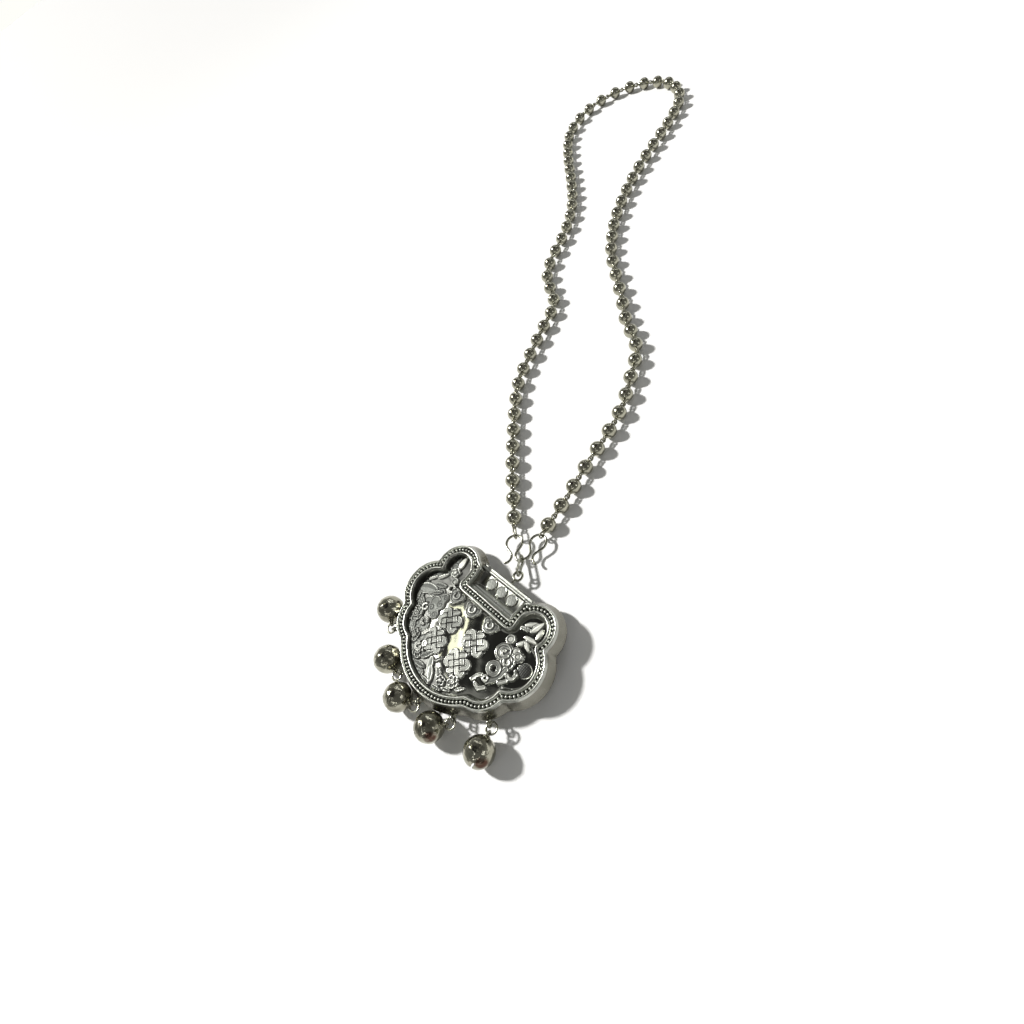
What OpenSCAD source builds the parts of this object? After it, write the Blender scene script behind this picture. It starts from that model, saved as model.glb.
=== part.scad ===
/* [Lock] */
// Thickness of the lock from its back rim to its front rim
lock_t = 5.6; // [4.5:0.1:7]
// Width of the flat beaded band round the front
rim_w = 2.2; // [1.6:0.1:2.6]
// How far the side wall swells out to the seam halfway down
flare = 1.2; // [0.6:0.1:1.6]
// Wall of the hollow body
wall = 0.5; // [0.3:0.1:0.8]
// Depth of the panel's edge below the band
panel_dip = 1.5; // [0.8:0.1:2]
// Rise of the panel from its edge to its middle
panel_rise = 1.45; // [1:0.05:1.45]
// Height of the raised ornament over the panel
relief_h = 0.6; // [0.3:0.1:1]
// Spacing of the small round beads on the band
beading_step = 0.87; // [0.8:0.01:1.2]

/* [Bells] */
// Diameter of a bell
bell_d = 6.4; // [5.5:0.1:7]
// Wall of a bell
bell_wall = 0.35; // [0.25:0.05:0.6]
// Centreline radius of a jump ring
ring_r = 1.15; // [1:0.05:1.5]
// Wire of a jump ring
ring_wire = 0.44; // [0.3:0.02:0.5]

/* [Chain] */
// Diameter of a chain ball
ball_d = 3.7; // [3.2:0.1:4.2]
// Wire of the eyes between the balls
eye_wire = 0.4; // [0.3:0.02:0.44]
// Balls on the stretch round the back of the neck
back_balls = 38; // [34:1:40]

/* [Hooks] */
// Wire of a hook
hook_wire = 0.58; // [0.4:0.02:0.64]
// Radius of the round head of a hook
hook_r = 2; // [1.6:0.1:2.4]

/* [Hidden] */
$fn = 48;
tiny = 0.01;
silver = "#b9bab4";
bright_silver = "#cfd0ca";

// The lock's own centre, seen from the middle of the whole laid-out necklace
lock_at = [46.34, -86.15];
seam_z = lock_t / 2;

// Lobes of the outline at the band's inner line: centre x, centre y, radius
X = 0;
Y = 1;
R = 2;
belly = [0, 0.5, 13.45];
foot_lobe = [10.3, -3.6, 4.65];
side_lobe = [13.7, 2.1, 5.05];
horn_lobe = [12.3, 9.7, 3.25];
notch_half = 9.25;
notch_y = 6.15;
notch_round = 2.2;

// Raised lines on the band: distance out to the middle, width, height
outer_line = [rim_w - 0.25, 0.4, 0.3];
inner_line = [0.4, 0.6, 0.25];

// The panel is a shallow dome: the cap of a large ball
panel_low = lock_t - panel_dip;
panel_top = panel_low + panel_rise;
panel_reach = 17;
dome_r = (pow(panel_reach, 2) + pow(panel_rise, 2)) / (2 * panel_rise);
dome_z = panel_top - dome_r;
back_dip = 0.5;

// Small round beads on the band: how far out they run, their size and height
beading_d = 1.25;
beading_r = 0.36;
beading_z = lock_t - 0.12;
beading_in = 0.1;

// Ornament on the panel. Flowers: x, y, radius
relief_sink = 0.3;
petals = 5;
flowers = [
    [11.4, 3.2, 2.1],
    [12.4, 6.9, 0.9],
    [5.8, -7.9, 1.3],
    [-13, -4.2, 1.8],
    [-9.4, -7.6, 1.2],
    [-12.2, 8.7, 1.1]
];
// Leaves: x, y, length, width, angle
leaves = [
    [12.3, 11.6, 3.2, 1.1, 80],
    [11.6, 9.4, 2.4, 1, 150],
    [15.6, 1.9, 2.8, 1, 105],
    [14.4, -1.8, 2.2, 0.9, 30],
    [-14.6, 1.2, 8.4, 2.2, 10],
    [-13.9, 6.3, 3, 1.1, 55],
    [-12.9, 11.6, 3.2, 1.1, 110],
    [-1.2, -8.6, 3.8, 1, -25],
    [2.2, -10, 2.8, 0.9, -20],
    [-5, -10.2, 3, 1, 20],
    [5.6, -10.4, 2.4, 0.9, 20]
];
// Curled stems: x, y, radius, angle where the curl starts
scrolls = [
    [11.2, -1.2, 0.95, 60],
    [8.9, -5.2, 0.8, 150],
    [11.4, -4.6, 0.8, 210],
    [-9.6, -3.6, 0.9, 20],
    [-6.3, -8.2, 0.7, 100]
];
// Curls that hang from the notch: x, y, angle where the curl starts
cloud_r = 1.15;
clouds = [
    [-6.6, 4.3, 60],
    [-0.9, 4.3, 60],
    [4.9, 4.5, 60]
];
// Four knots fill the middle
knots = [[-4.2, 0], [4.2, 0], [-4, -5.3], [4, -5.3]];
knot_size = 3.8;
knot_straps = 3;

// Collar in the notch
collar_low = 7.9;
collar_y = 14.7;
collar_half = 7.9;
collar_t = 1.8;
bar_w = 1.2;
bar_h = 0.45;
step_half = 6.6;
step_in = 0.5;
step_y = [9.9, 9.15];
step_z = [lock_t - 1.3, lock_t - 0.6];
disc_step = 3.3;
disc_y = 11.75;
disc_r = 1.35;
disc_h = 0.25;

// Bail loop and the oval link in it
bail_y = 16.8;
bail_r = 1.05;
bail_wire = 0.56;
bail_stem = 1.2;
bail_stem_in = 0.4;
link_turn = 128.5;
link_start = 0.15;
link_slope = 15.7;
link_lift = 0.24;
link_long = 5.46;
link_half = 0.8;
link_wire = 0.54;

// Bell loops on the seam, and the bells' own sizes
loop_r = 0.8;
loop_wire = 0.5;
loop_out = 0.6;
loop_z = seam_z + 0.35;
bell_eye_r = 0.55;
eye_out = bell_d / 2 + 0.45;
band_h = 0.05;
band_w = 0.5;
slot_w = 0.5;
slot_long = 5;
slot_start = 1.2;
slot_roll = 118;
// Where the bells lie: lobe centre x, y, lobe radius, then the way from the lobe to the loop,
// from the loop to the ring and from the ring to the bell
bells = [
    [-foot_lobe[X], foot_lobe[Y], foot_lobe[R], -131, -155, 145],
    [belly[X], belly[Y], belly[R], -113, -113, 170],
    [belly[X], belly[Y], belly[R], -86, -88, -164],
    [belly[X], belly[Y], belly[R], -55, -72, -132],
    [foot_lobe[X], foot_lobe[Y], foot_lobe[R], -41, -16, -77]
];

// Hooks: where the round head's centre lies, and how far the hook is turned
hook_left_at = [-7.06, 22.39, 2];
hook_left_turn = 40.3;
hook_right_at = [-2.32, 25.66, 1.77];
hook_right_turn = 14.6;
head_turn = 125;
leg_long = 1.5;
foot_r = 1.6;
foot_turn = 116;
foot_tip = 0.36;
lap = 0.04;

// Chain: heights, eyes, and the oval link between the left hook and the first eye
chain_z = ball_d / 2;
neck_wire = eye_wire + 0.1;
eye_r = 0.56;
hook_eye_r = 0.75;
end_link_half = 0.8;
end_link_turn = 140;
end_link_run = 2.35;
end_link_gap = 0.22;
// The way of the chain from the left hook to the right hook, in stretches of evenly spaced balls
route_steps = 8;
left_low = [
    [-15.8, 31], [-19.6, 34.5], [-27.2, 42.4], [-34.8, 51], [-41.8, 60], [-45.8, 70], [-49, 78.5], [-51.7, 86.8]
];
left_high = [[-55.9, 91], [-61.3, 94], [-65.2, 98.6], [-68, 104]];
round_back = [
    [-72, 115], [-79, 127], [-90, 139], [-101, 150], [-111, 163], [-113, 178], [-104, 190],
    [-89, 193], [-77, 185], [-72, 172], [-69, 157], [-65, 141], [-58, 124], [-48.5, 110]
];
right_high = [[-43.6, 105.6], [-38.6, 100.8], [-33.5, 96.3], [-29.4, 92]];
right_low = [
    [-25.4, 88.2], [-21, 85.6], [-17, 81.8], [-14.4, 76.8], [-11.8, 71.4], [-9.3, 66.2], [-7.7, 60.6],
    [-6.8, 54.8], [-6.1, 49.2], [-5.2, 43.6], [-4.2, 38.4], [-3.5, 33]
];

function polar(a, r) = [r * cos(a), r * sin(a)];
function dome_height(p) = dome_z + sqrt(pow(dome_r, 2) - p * p);

// Mirrored copy of what is drawn on the right
module both_sides() {
    children();
    mirror([1, 0, 0]) children();
}

module lobe_2d(l, d) {
    translate([l[X], l[Y]]) circle(r = l[R] + d);
}

// The notch between the horns, with rounded lower corners
module notch_2d(d) {
    half = notch_half - d;
    low = notch_y + d;
    r = max(notch_round - d, tiny);
    translate([-half, low + r]) square([2 * half, 12]);
    translate([-half + r, low]) square([2 * (half - r), 12]);
    both_sides() translate([half - r, low + r]) circle(r = r);
}

// The lock's outline, d outside the band's inner line
module outline_2d(d) {
    difference() {
        union() {
            lobe_2d(belly, d);
            both_sides() lobe_2d(foot_lobe, d);
            both_sides() lobe_2d(side_lobe, d);
        }
        notch_2d(d);
    }
    both_sides() lobe_2d(horn_lobe, d);
}

// One lobe of the pillow: two cones that meet at the seam
module lobe_pillow(l, d, low, high) {
    rim_r = l[R] + d;
    seam_r = rim_r + flare;
    translate([l[X], l[Y], low]) cylinder(r1 = rim_r, r2 = seam_r, h = seam_z - low);
    translate([l[X], l[Y], seam_z]) cylinder(r1 = seam_r, r2 = rim_r, h = high - seam_z);
}

module pillow(d, low, high) {
    difference() {
        union() {
            lobe_pillow(belly, d, low, high);
            both_sides() lobe_pillow(foot_lobe, d, low, high);
            both_sides() lobe_pillow(side_lobe, d, low, high);
        }
        translate([0, 0, low - 1]) linear_extrude(high - low + 2) notch_2d(d);
    }
    both_sides() lobe_pillow(horn_lobe, d, low, high);
}

// Room in front of the domed panel and the shallow recess of the back
module front_recess() {
    difference() {
        translate([0, 0, panel_low - 1]) linear_extrude(lock_t) outline_2d(0);
        translate([0, 0, dome_z]) sphere(r = dome_r, $fn = 96);
    }
}

module back_recess() {
    translate([0, 0, -1]) linear_extrude(1 + back_dip) outline_2d(0);
}

// The empty inside of the two soldered shells
module hollow() {
    intersection() {
        pillow(rim_w - wall, back_dip + wall, lock_t);
        translate([0, 0, dome_z]) sphere(r = dome_r - wall, $fn = 96);
    }
}

// A raised line along the outline: distance out to its middle, width, height
module rim_line(l) {
    translate([0, 0, lock_t - tiny]) linear_extrude(l[2]) difference() {
        outline_2d(l[0] + l[1] / 2);
        outline_2d(l[0] - l[1] / 2);
    }
}

// Where two circles cross, on the left of the way from the first centre to the second
function crossing(p, rp, q, rq) =
    let (
        dist = norm(q - p),
        along = (pow(dist, 2) + pow(rp, 2) - pow(rq, 2)) / (2 * dist),
        aside = sqrt(pow(rp, 2) - pow(along, 2)),
        u = (q - p) / dist
    )
    p + along * u + aside * [-u[Y], u[X]];
function centre(l) = [l[X], l[Y]];
function angle_of(p, l) = atan2(p[Y] - l[Y], p[X] - l[X]);
// Where two lobes meet, d outside the band's inner line
function cusp(l, m, d) = crossing(centre(l), l[R] + d, centre(m), m[R] + d);

// Beads along one lobe's arc, from angle a to angle b
module arc_beads(l, d, a, b) {
    r = l[R] + d;
    count = max(1, round((b - a) * r * PI / 180 / beading_step));
    for (i = [0:count - 1])
        translate(concat(centre(l) + polar(a + (i + 0.5) * (b - a) / count, r), beading_z))
            sphere(r = beading_r, $fn = 16);
}

module beading() {
    cusp_foot = cusp(foot_lobe, belly, beading_d);
    cusp_side = cusp(side_lobe, foot_lobe, beading_d);
    cusp_horn = cusp(horn_lobe, side_lobe, beading_d);
    floor_y = notch_y + beading_d;
    corner_x = notch_half - beading_d;
    side_count = round((horn_lobe[Y] - floor_y) / beading_step);
    floor_count = round(corner_x / beading_step);
    both_sides() {
        arc_beads(belly, beading_d, -90, angle_of(cusp_foot, belly));
        arc_beads(foot_lobe, beading_d, angle_of(cusp_foot, foot_lobe), angle_of(cusp_side, foot_lobe));
        arc_beads(side_lobe, beading_d, angle_of(cusp_side, side_lobe), angle_of(cusp_horn, side_lobe));
        arc_beads(horn_lobe, beading_d, angle_of(cusp_horn, horn_lobe), 180);
        for (i = [0:side_count - 1])
            translate([corner_x - beading_in, floor_y + (i + 0.5) * beading_step, beading_z])
                sphere(r = beading_r, $fn = 16);
        for (i = [0:floor_count - 1])
            translate([(i + 0.5) * corner_x / floor_count, floor_y, beading_z])
                sphere(r = beading_r, $fn = 16);
    }
}

// A motif stands on the panel at p, square to the dome there
module on_panel(p) {
    out = norm([p[X], p[Y]]);
    way = atan2(p[Y], p[X]);
    translate([p[X], p[Y], dome_height(out)])
        rotate(way) rotate([0, asin(out / dome_r), 0]) rotate(-way) children();
}

// An open flower: round petals about a raised eye
module flower(r) {
    petal_r = 0.46 * r;
    petal_z = min(0, relief_h - petal_r);
    intersection() {
        union() {
            for (i = [0:petals - 1])
                translate(concat(polar(90 + i * 360 / petals, 0.6 * r), petal_z)) sphere(r = petal_r);
            translate([0, 0, petal_z + 0.3 * relief_h]) sphere(r = 0.4 * r);
        }
        translate([0, 0, -relief_sink]) cylinder(r = 1.2 * r, h = relief_sink + 2 * relief_h);
    }
}

// A pointed leaf: the overlap of two discs
module leaf(long, wide) {
    r = (pow(long, 2) + pow(wide, 2)) / (4 * wide);
    translate([0, 0, -relief_sink]) linear_extrude(relief_sink + relief_h) intersection() {
        translate([0, r - wide / 2]) circle(r = r);
        translate([0, wide / 2 - r]) circle(r = r);
    }
}

// A cloud curl: part of a ring that ends in a round knob
module curl(r, turn) {
    stroke = 0.33 * r;
    rotate_extrude(angle = turn) translate([r, 0]) circle(r = stroke);
    for (a = [0, turn]) translate(polar(a, r)) sphere(r = 1.15 * stroke);
    sphere(r = 0.36 * r);
}

// An endless knot: crossing straps tied by round loops at their ends
module knot(size, straps) {
    gap = size / straps;
    strap = 0.42 * gap;
    loop = 0.52 * gap;
    reach = size - 0.2 * strap;
    translate([0, 0, -relief_sink]) linear_extrude(relief_sink + relief_h)
        for (quarter = [0, 90]) rotate(45 + quarter) {
            for (i = [0:straps - 1])
                translate([-reach / 2, (i + 0.5) * gap - size / 2 - strap / 2]) square([reach, strap]);
            for (side = [-1, 1]) for (i = [0:2:straps - 2])
                translate([side * size / 2, (i + 1) * gap - size / 2]) difference() {
                    circle(r = gap / 2 + loop / 2);
                    circle(r = gap / 2 - loop / 2);
                }
        }
}

module ornament() {
    for (k = knots) on_panel(k) knot(knot_size, knot_straps);
    for (c = clouds) on_panel(c) rotate(c[2]) curl(cloud_r, 230);
    for (f = flowers) on_panel(f) flower(f[2]);
    for (l = leaves) on_panel(l) rotate(l[4]) leaf(l[2], l[3]);
    for (c = scrolls) on_panel(c) rotate(c[3]) curl(c[2], 220);
}

// The straight collar that fills the notch, with its top bar, two steps and three discs
module collar() {
    reach = collar_y - collar_low;
    translate([-collar_half, collar_low, seam_z - collar_t / 2]) cube([2 * collar_half, reach, collar_t]);
    translate([-collar_half, collar_y - bar_w, seam_z]) cube([2 * collar_half, bar_w, collar_t / 2 + bar_h]);
    for (i = [0:1])
        translate([-step_half + i * step_in, collar_low, seam_z])
            cube([2 * (step_half - i * step_in), step_y[i] - collar_low, step_z[i] - seam_z]);
    for (i = [-1:1])
        translate([i * disc_step, disc_y, seam_z]) cylinder(r = disc_r, h = collar_t / 2 + disc_h);
}

// A round wire loop, lying flat or standing along x
module wire_ring(r, wire) {
    rotate_extrude() translate([r, 0]) circle(d = wire, $fn = 24);
}

module upright_ring(r, wire) {
    rotate([90, 0, 0]) wire_ring(r, wire);
}

module bail_loop() {
    translate([0, collar_y - bail_stem_in, seam_z]) rotate([-90, 0, 0])
        cylinder(d = bail_wire + 0.1, h = bail_stem);
    translate([0, bail_y, seam_z]) wire_ring(bail_r, bail_wire);
}

function loop_at(b) = [b[0], b[1]] + polar(b[3], b[2] + rim_w + flare + loop_out);
function ring_at(b) = loop_at(b) + polar(b[4], ring_r);
function bell_at(b) = ring_at(b) + polar(b[5], ring_r + eye_out);

// One of the five small loops that carry the bells
module bell_loop(b) {
    translate(concat(loop_at(b), loop_z)) rotate(b[3]) upright_ring(loop_r, loop_wire);
}

module lock_body() color(silver) {
    difference() {
        pillow(rim_w, 0, lock_t);
        front_recess();
        back_recess();
        hollow();
    }
    beading();
    rim_line(outer_line);
    rim_line(inner_line);
    ornament();
    collar();
    bail_loop();
    for (b = bells) bell_loop(b);
}

// A long link of round wire, drawn from the middle of its first end along x
module long_link(length, half_w, wire) {
    rotate([90, 0, 0]) {
        for (end = [0, 1])
            translate([half_w + end * (length - 2 * half_w), 0, 0]) rotate(90 + end * 180)
                rotate_extrude(angle = 180) translate([half_w, 0]) circle(d = wire, $fn = 24);
        for (side = [-1, 1])
            translate([half_w, side * half_w, 0]) rotate([0, 90, 0])
                cylinder(d = wire, h = length - 2 * half_w, $fn = 24);
    }
}

// The oval link leaves the bail at a slant and slopes down to the hooks
module bail_link() color(silver) {
    start = [0, bail_y] + polar(link_turn, link_start);
    translate(concat(start, seam_z + link_lift)) rotate([0, 0, link_turn]) rotate([0, link_slope, 0])
        long_link(link_long, link_half, link_wire);
}

// One side of a hook: straight leg and a foot that turns outward
module hook_half() {
    neck = polar(90 - head_turn, hook_r);
    leg_way = -head_turn;
    foot_start = neck + polar(leg_way, leg_long);
    foot_centre = foot_start + polar(leg_way + 90, foot_r);
    translate(neck + polar(leg_way, -lap)) rotate(leg_way) rotate([0, 90, 0])
        cylinder(d = hook_wire - lap, h = leg_long + 2 * lap, $fn = 24);
    translate(foot_centre) rotate(leg_way - 90) rotate_extrude(angle = foot_turn)
        translate([foot_r, 0]) circle(d = hook_wire, $fn = 24);
    foot_end = foot_centre + polar(leg_way - 90 + foot_turn, foot_r);
    foot_way = leg_way + foot_turn;
    translate(foot_end + polar(foot_way, -lap)) rotate(foot_way) rotate([0, 90, 0])
        cylinder(d = hook_wire - lap, h = foot_tip + lap, $fn = 24);
}

module hook(at, turn) {
    translate(at) rotate(turn) {
        rotate(90 - head_turn) rotate_extrude(angle = 2 * head_turn)
            translate([hook_r, 0]) circle(d = hook_wire, $fn = 24);
        hook_half();
        mirror([1, 0, 0]) hook_half();
    }
}

module hook_left() color(silver) hook(hook_left_at, hook_left_turn);
module hook_right() color(silver) hook(hook_right_at, hook_right_turn);

function hook_top(at, turn) = [at[X], at[Y]] + polar(90 + turn, hook_r);

// The chain's way over the table, from the left hook round the neck to the right hook
left_top = hook_top(hook_left_at, hook_left_turn);
left_start = left_top + polar(end_link_turn, end_link_run);
right_top = hook_top(hook_right_at, hook_right_turn);
stretches = [
    concat([left_start], left_low), left_high, round_back, right_high, concat(right_low, [right_top])
];
stretch_balls = [14, 4, back_balls, 4, 13];
route = [for (s = stretches) for (p = s) p];
function points_to(k) = k < 0 ? 0 : len(stretches[k]) + points_to(k - 1);

function route_at(i) = route[max(0, min(len(route) - 1, i))];
function bent(a, b, c, d, t) =
    0.5 * (2 * b + (c - a) * t + (2 * a - 5 * b + 4 * c - d) * t * t + (3 * b - a - 3 * c + d) * t * t * t);
function route_point(i, t) = bent(route_at(i - 1), route_at(i), route_at(i + 1), route_at(i + 2), t);
path = concat(
    [for (i = [0:len(route) - 2]) for (j = [0:route_steps - 1]) route_point(i, j / route_steps)],
    [right_top]
);
steps = [for (i = [1:len(path) - 1]) norm(path[i] - path[i - 1])];
function run_to(i) = i == 0 ? 0 : steps[i - 1] + run_to(i - 1);
runs = [for (i = [0:len(path) - 1]) run_to(i)];
run_x = [for (i = [0:len(path) - 1]) [runs[i], path[i][X]]];
run_y = [for (i = [0:len(path) - 1]) [runs[i], path[i][Y]]];
// Run at which stretch k ends
function end_run(k) = k < 0 ? 0 : runs[(points_to(k) - 1) * route_steps];
joint_runs = concat(
    [0],
    [
        for (k = [0:len(stretches) - 1]) for (i = [1:stretch_balls[k]])
            end_run(k - 1) + (end_run(k) - end_run(k - 1)) * i / stretch_balls[k]
    ]
);
joints = [for (s = joint_runs) [lookup(s, run_x), lookup(s, run_y)]];

// A ball and the wire through it, turned as one about x; the wire runs from x = back to x = front
module ball_on_neck(back, front) {
    rotate([0, 90, 0]) rotate_extrude() intersection() {
        union() {
            circle(d = ball_d);
            translate([0, back]) square([neck_wire / 2, front - back]);
        }
        translate([0, -2 * ball_d]) square([ball_d, 4 * ball_d]);
    }
}

// One ball with a wire neck and an eye at each end, between two joints of the chain
module ball_unit(a, b) {
    half = norm(b - a) / 2;
    eye_x = half - eye_r / 2;
    translate(concat((a + b) / 2, chain_z)) rotate(atan2(b[Y] - a[Y], b[X] - a[X])) {
        ball_on_neck(eye_r - eye_x, eye_x - eye_r);
        translate([-eye_x, 0, 0]) rotate(90) wire_ring(eye_r, eye_wire);
        translate([eye_x, 0, 0]) upright_ring(eye_r, eye_wire);
    }
}

// The last ball holds the right hook itself, in a larger upright eye
module last_unit(a, b) {
    half = norm(b - a) / 2;
    eye_x = half - eye_r / 2;
    translate(concat((a + b) / 2, chain_z)) rotate(atan2(b[Y] - a[Y], b[X] - a[X])) {
        ball_on_neck(eye_r - eye_x, half - hook_eye_r);
        translate([-eye_x, 0, 0]) rotate(90) wire_ring(eye_r, eye_wire);
        translate([half, 0, 0]) upright_ring(hook_eye_r, eye_wire);
    }
}

module chain() color(bright_silver) {
    last = len(joints) - 1;
    for (k = [0:last - 2]) ball_unit(joints[k], joints[k + 1]);
    last_unit(joints[last - 1], joints[last]);
    inside = hook_wire / 2 + eye_wire / 2 + end_link_gap;
    translate(concat(left_top - polar(end_link_turn, inside), chain_z)) rotate(end_link_turn)
        long_link(inside + end_link_run + eye_r / 2, end_link_half, eye_wire);
}

module bell_ring(b) color(silver) {
    translate(concat(ring_at(b), bell_d / 2 + band_h)) wire_ring(ring_r, ring_wire);
}

// A hollow round bell with a soldered middle band, an eye and a sound slot opposite
module bell(b) color(silver) {
    translate(concat(bell_at(b), bell_d / 2 + band_h)) rotate(b[5] + 180) {
        rotate([0, 90, 0]) difference() {
            rotate_extrude() intersection() {
                difference() {
                    union() {
                        circle(d = bell_d);
                        square([bell_d + 2 * band_h, band_w], center = true);
                    }
                    circle(d = bell_d - 2 * bell_wall);
                }
                translate([0, -bell_d]) square([bell_d, 2 * bell_d]);
            }
            rotate(slot_roll) translate([-slot_w / 2, -slot_long / 2, -bell_d])
                cube([slot_w, slot_long, bell_d - slot_start]);
        }
        translate([eye_out, 0, 0]) upright_ring(bell_eye_r, eye_wire);
    }
}

module placed() {
    translate(concat(lock_at, 0)) children();
}

placed() lock_body();
placed() bail_link();
placed() hook_left();
placed() hook_right();
placed() chain();
placed() bell_ring(bells[0]);  // bell_ring_1
placed() bell_ring(bells[1]);  // bell_ring_2
placed() bell_ring(bells[2]);  // bell_ring_3
placed() bell_ring(bells[3]);  // bell_ring_4
placed() bell_ring(bells[4]);  // bell_ring_5
placed() bell(bells[0]);  // bell_1
placed() bell(bells[1]);  // bell_2
placed() bell(bells[2]);  // bell_3
placed() bell(bells[3]);  // bell_4
placed() bell(bells[4]);  // bell_5
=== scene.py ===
import math
import bpy
import numpy as np
from mathutils import Matrix, Vector


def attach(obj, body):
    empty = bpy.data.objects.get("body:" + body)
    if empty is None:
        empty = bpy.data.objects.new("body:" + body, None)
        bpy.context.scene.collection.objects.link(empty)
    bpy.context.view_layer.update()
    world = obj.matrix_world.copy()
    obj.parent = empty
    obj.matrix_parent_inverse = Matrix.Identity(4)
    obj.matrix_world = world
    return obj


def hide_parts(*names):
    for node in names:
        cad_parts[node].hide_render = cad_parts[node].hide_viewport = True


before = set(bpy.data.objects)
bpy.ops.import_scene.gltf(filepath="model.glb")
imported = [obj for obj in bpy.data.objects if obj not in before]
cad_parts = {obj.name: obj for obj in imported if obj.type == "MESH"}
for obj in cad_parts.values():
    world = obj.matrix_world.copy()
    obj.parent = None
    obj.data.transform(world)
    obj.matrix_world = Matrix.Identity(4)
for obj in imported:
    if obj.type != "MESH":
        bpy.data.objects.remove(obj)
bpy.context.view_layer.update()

# All sizes are in mm and all places are in the lock's own frame, as in the part's source
MM = 0.001
LOCK_AT = np.array([46.34, -86.15, 0.0])
LOCK_T = 5.6
SEAM_Z = LOCK_T / 2
RIM_W = 2.2
FLARE = 1.2
BALL_D = 3.7
BELL_D = 6.4
UP = np.array([0.0, 0.0, 1.0])


# Mesh helpers
def new_object(name, data):
    obj = bpy.data.objects.new(name, data)
    bpy.context.scene.collection.objects.link(obj)
    return obj


def make_object(name, verts, faces, material):
    """A smooth mesh that rides on the object's only body."""
    mesh = bpy.data.meshes.new(name)
    placed = (np.asarray(verts, float) + LOCK_AT) * MM
    mesh.from_pydata(placed.tolist(), [], [tuple(map(int, f)) for f in faces])
    mesh.update()
    mesh.polygons.foreach_set("use_smooth", [True] * len(mesh.polygons))
    mesh.materials.append(material)
    obj = new_object(name, mesh)
    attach(obj, "root")
    return obj


def add_mark(obj, name, values):
    layer = obj.data.attributes.new(name, "FLOAT", "POINT")
    layer.data.foreach_set("value", np.asarray(values, np.float32))


class Builder:
    """Gathers many small shapes into one mesh."""

    def __init__(self):
        self.verts = []
        self.faces = []
        self.count = 0

    def add(self, verts, faces):
        verts = np.asarray(verts, float)
        self.verts.append(verts)
        self.faces += [tuple(i + self.count for i in f) for f in faces]
        self.count += len(verts)

    def done(self, name, material):
        return make_object(name, np.vstack(self.verts), self.faces, material)


def bands(rows, n, flip=False, start=0, wrap=False):
    """Quads between neighbouring rows that are each a ring of n points."""
    faces = []
    for i in range(rows if wrap else rows - 1):
        a = start + i * n
        b = start + (i + 1) % rows * n
        for j in range(n):
            k = (j + 1) % n
            faces.append((a + j, a + k, b + k, b + j) if flip else (a + j, b + j, b + k, a + k))
    return faces


def caps(rows, n):
    """The first and the last ring of n points as one face each."""
    last = (rows - 1) * n
    return [tuple(range(n))[::-1], tuple(range(last, last + n))]


def grid_faces(keep, flip=False):
    """Quads of a grid of points, where all four corners are kept and numbered in order."""
    index = -np.ones(keep.shape, int)
    index[keep] = np.arange(keep.sum())
    corners = [index[:-1, :-1], index[:-1, 1:], index[1:, 1:], index[1:, :-1]]
    whole = np.all([c >= 0 for c in corners], axis=0)
    order = (0, 3, 2, 1) if flip else (0, 1, 2, 3)
    return np.column_stack([corners[i][whole] for i in order])


def tube(path, radius, sides, closed=False, up=UP):
    """A round wire along a path; radius may be a list, one value a point."""
    path = np.asarray(path, float)
    n = len(path)
    radius = np.broadcast_to(radius, (n,)).astype(float)
    if closed:
        tangent = np.roll(path, -1, 0) - np.roll(path, 1, 0)
    else:
        tangent = np.gradient(path, axis=0)
    tangent /= np.linalg.norm(tangent, axis=1)[:, None]
    side = np.cross(tangent, np.asarray(up, float))
    bad = np.linalg.norm(side, axis=1) < 1e-3
    side[bad] = np.cross(tangent[bad], [1.0, 0.3, 0.0])
    side /= np.linalg.norm(side, axis=1)[:, None]
    for i in range(1, n):
        s = side[i - 1] - tangent[i] * np.dot(side[i - 1], tangent[i])
        side[i] = s / np.linalg.norm(s)
    over = np.cross(side, tangent)
    a = np.linspace(0, 2 * math.pi, sides, endpoint=False)[None, :, None]
    ring = side[:, None, :] * np.cos(a) + over[:, None, :] * np.sin(a)
    verts = (path[:, None, :] + ring * radius[:, None, None]).reshape(-1, 3)
    return verts, bands(n, sides, flip=True, wrap=closed) + ([] if closed else caps(n, sides))


def round_end(path, radius):
    """Radii for a wire whose ends are rounded."""
    r = np.full(len(path), radius, float)
    r[0] = r[-1] = radius * 0.55
    r[1] = r[-2] = radius * 0.9
    return r


def hoop(centre, radius, wire, axis_u, axis_v, points, sides):
    """A round ring of wire in the plane of two axes."""
    a = np.linspace(0, 2 * math.pi, points, endpoint=False)
    path = np.asarray(centre, float) + radius * (np.outer(np.cos(a), axis_u) + np.outer(np.sin(a), axis_v))
    return tube(path, wire / 2, sides, closed=True, up=np.cross(axis_u, axis_v))


def ball(centre, radius, axis, rings, sides):
    """A sphere whose poles lie on the given axis."""
    aside = UP if abs(axis[2]) < 0.9 else np.array([1.0, 0.0, 0.0])
    u = np.cross(axis, aside)
    u /= np.linalg.norm(u)
    v = np.cross(axis, u)
    a = np.linspace(0, 2 * math.pi, sides, endpoint=False)
    ring = np.outer(np.cos(a), u) + np.outer(np.sin(a), v)
    turns = [math.pi * i / rings for i in range(1, rings)]
    verts = np.vstack([axis, *(axis * math.cos(t) + ring * math.sin(t) for t in turns), -axis])
    end = len(verts) - 1
    last = end - sides
    faces = [(0, 1 + j, 1 + (j + 1) % sides) for j in range(sides)] + bands(rings - 1, sides, start=1)
    faces += [(end, last + (j + 1) % sides, last + j) for j in range(sides)]
    return np.asarray(centre) + radius * verts, faces


def polar(angle, r):
    a = math.radians(angle)
    return np.array([r * math.cos(a), r * math.sin(a)])


def flat(p, z):
    return np.array([p[0], p[1], z], float)


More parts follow.
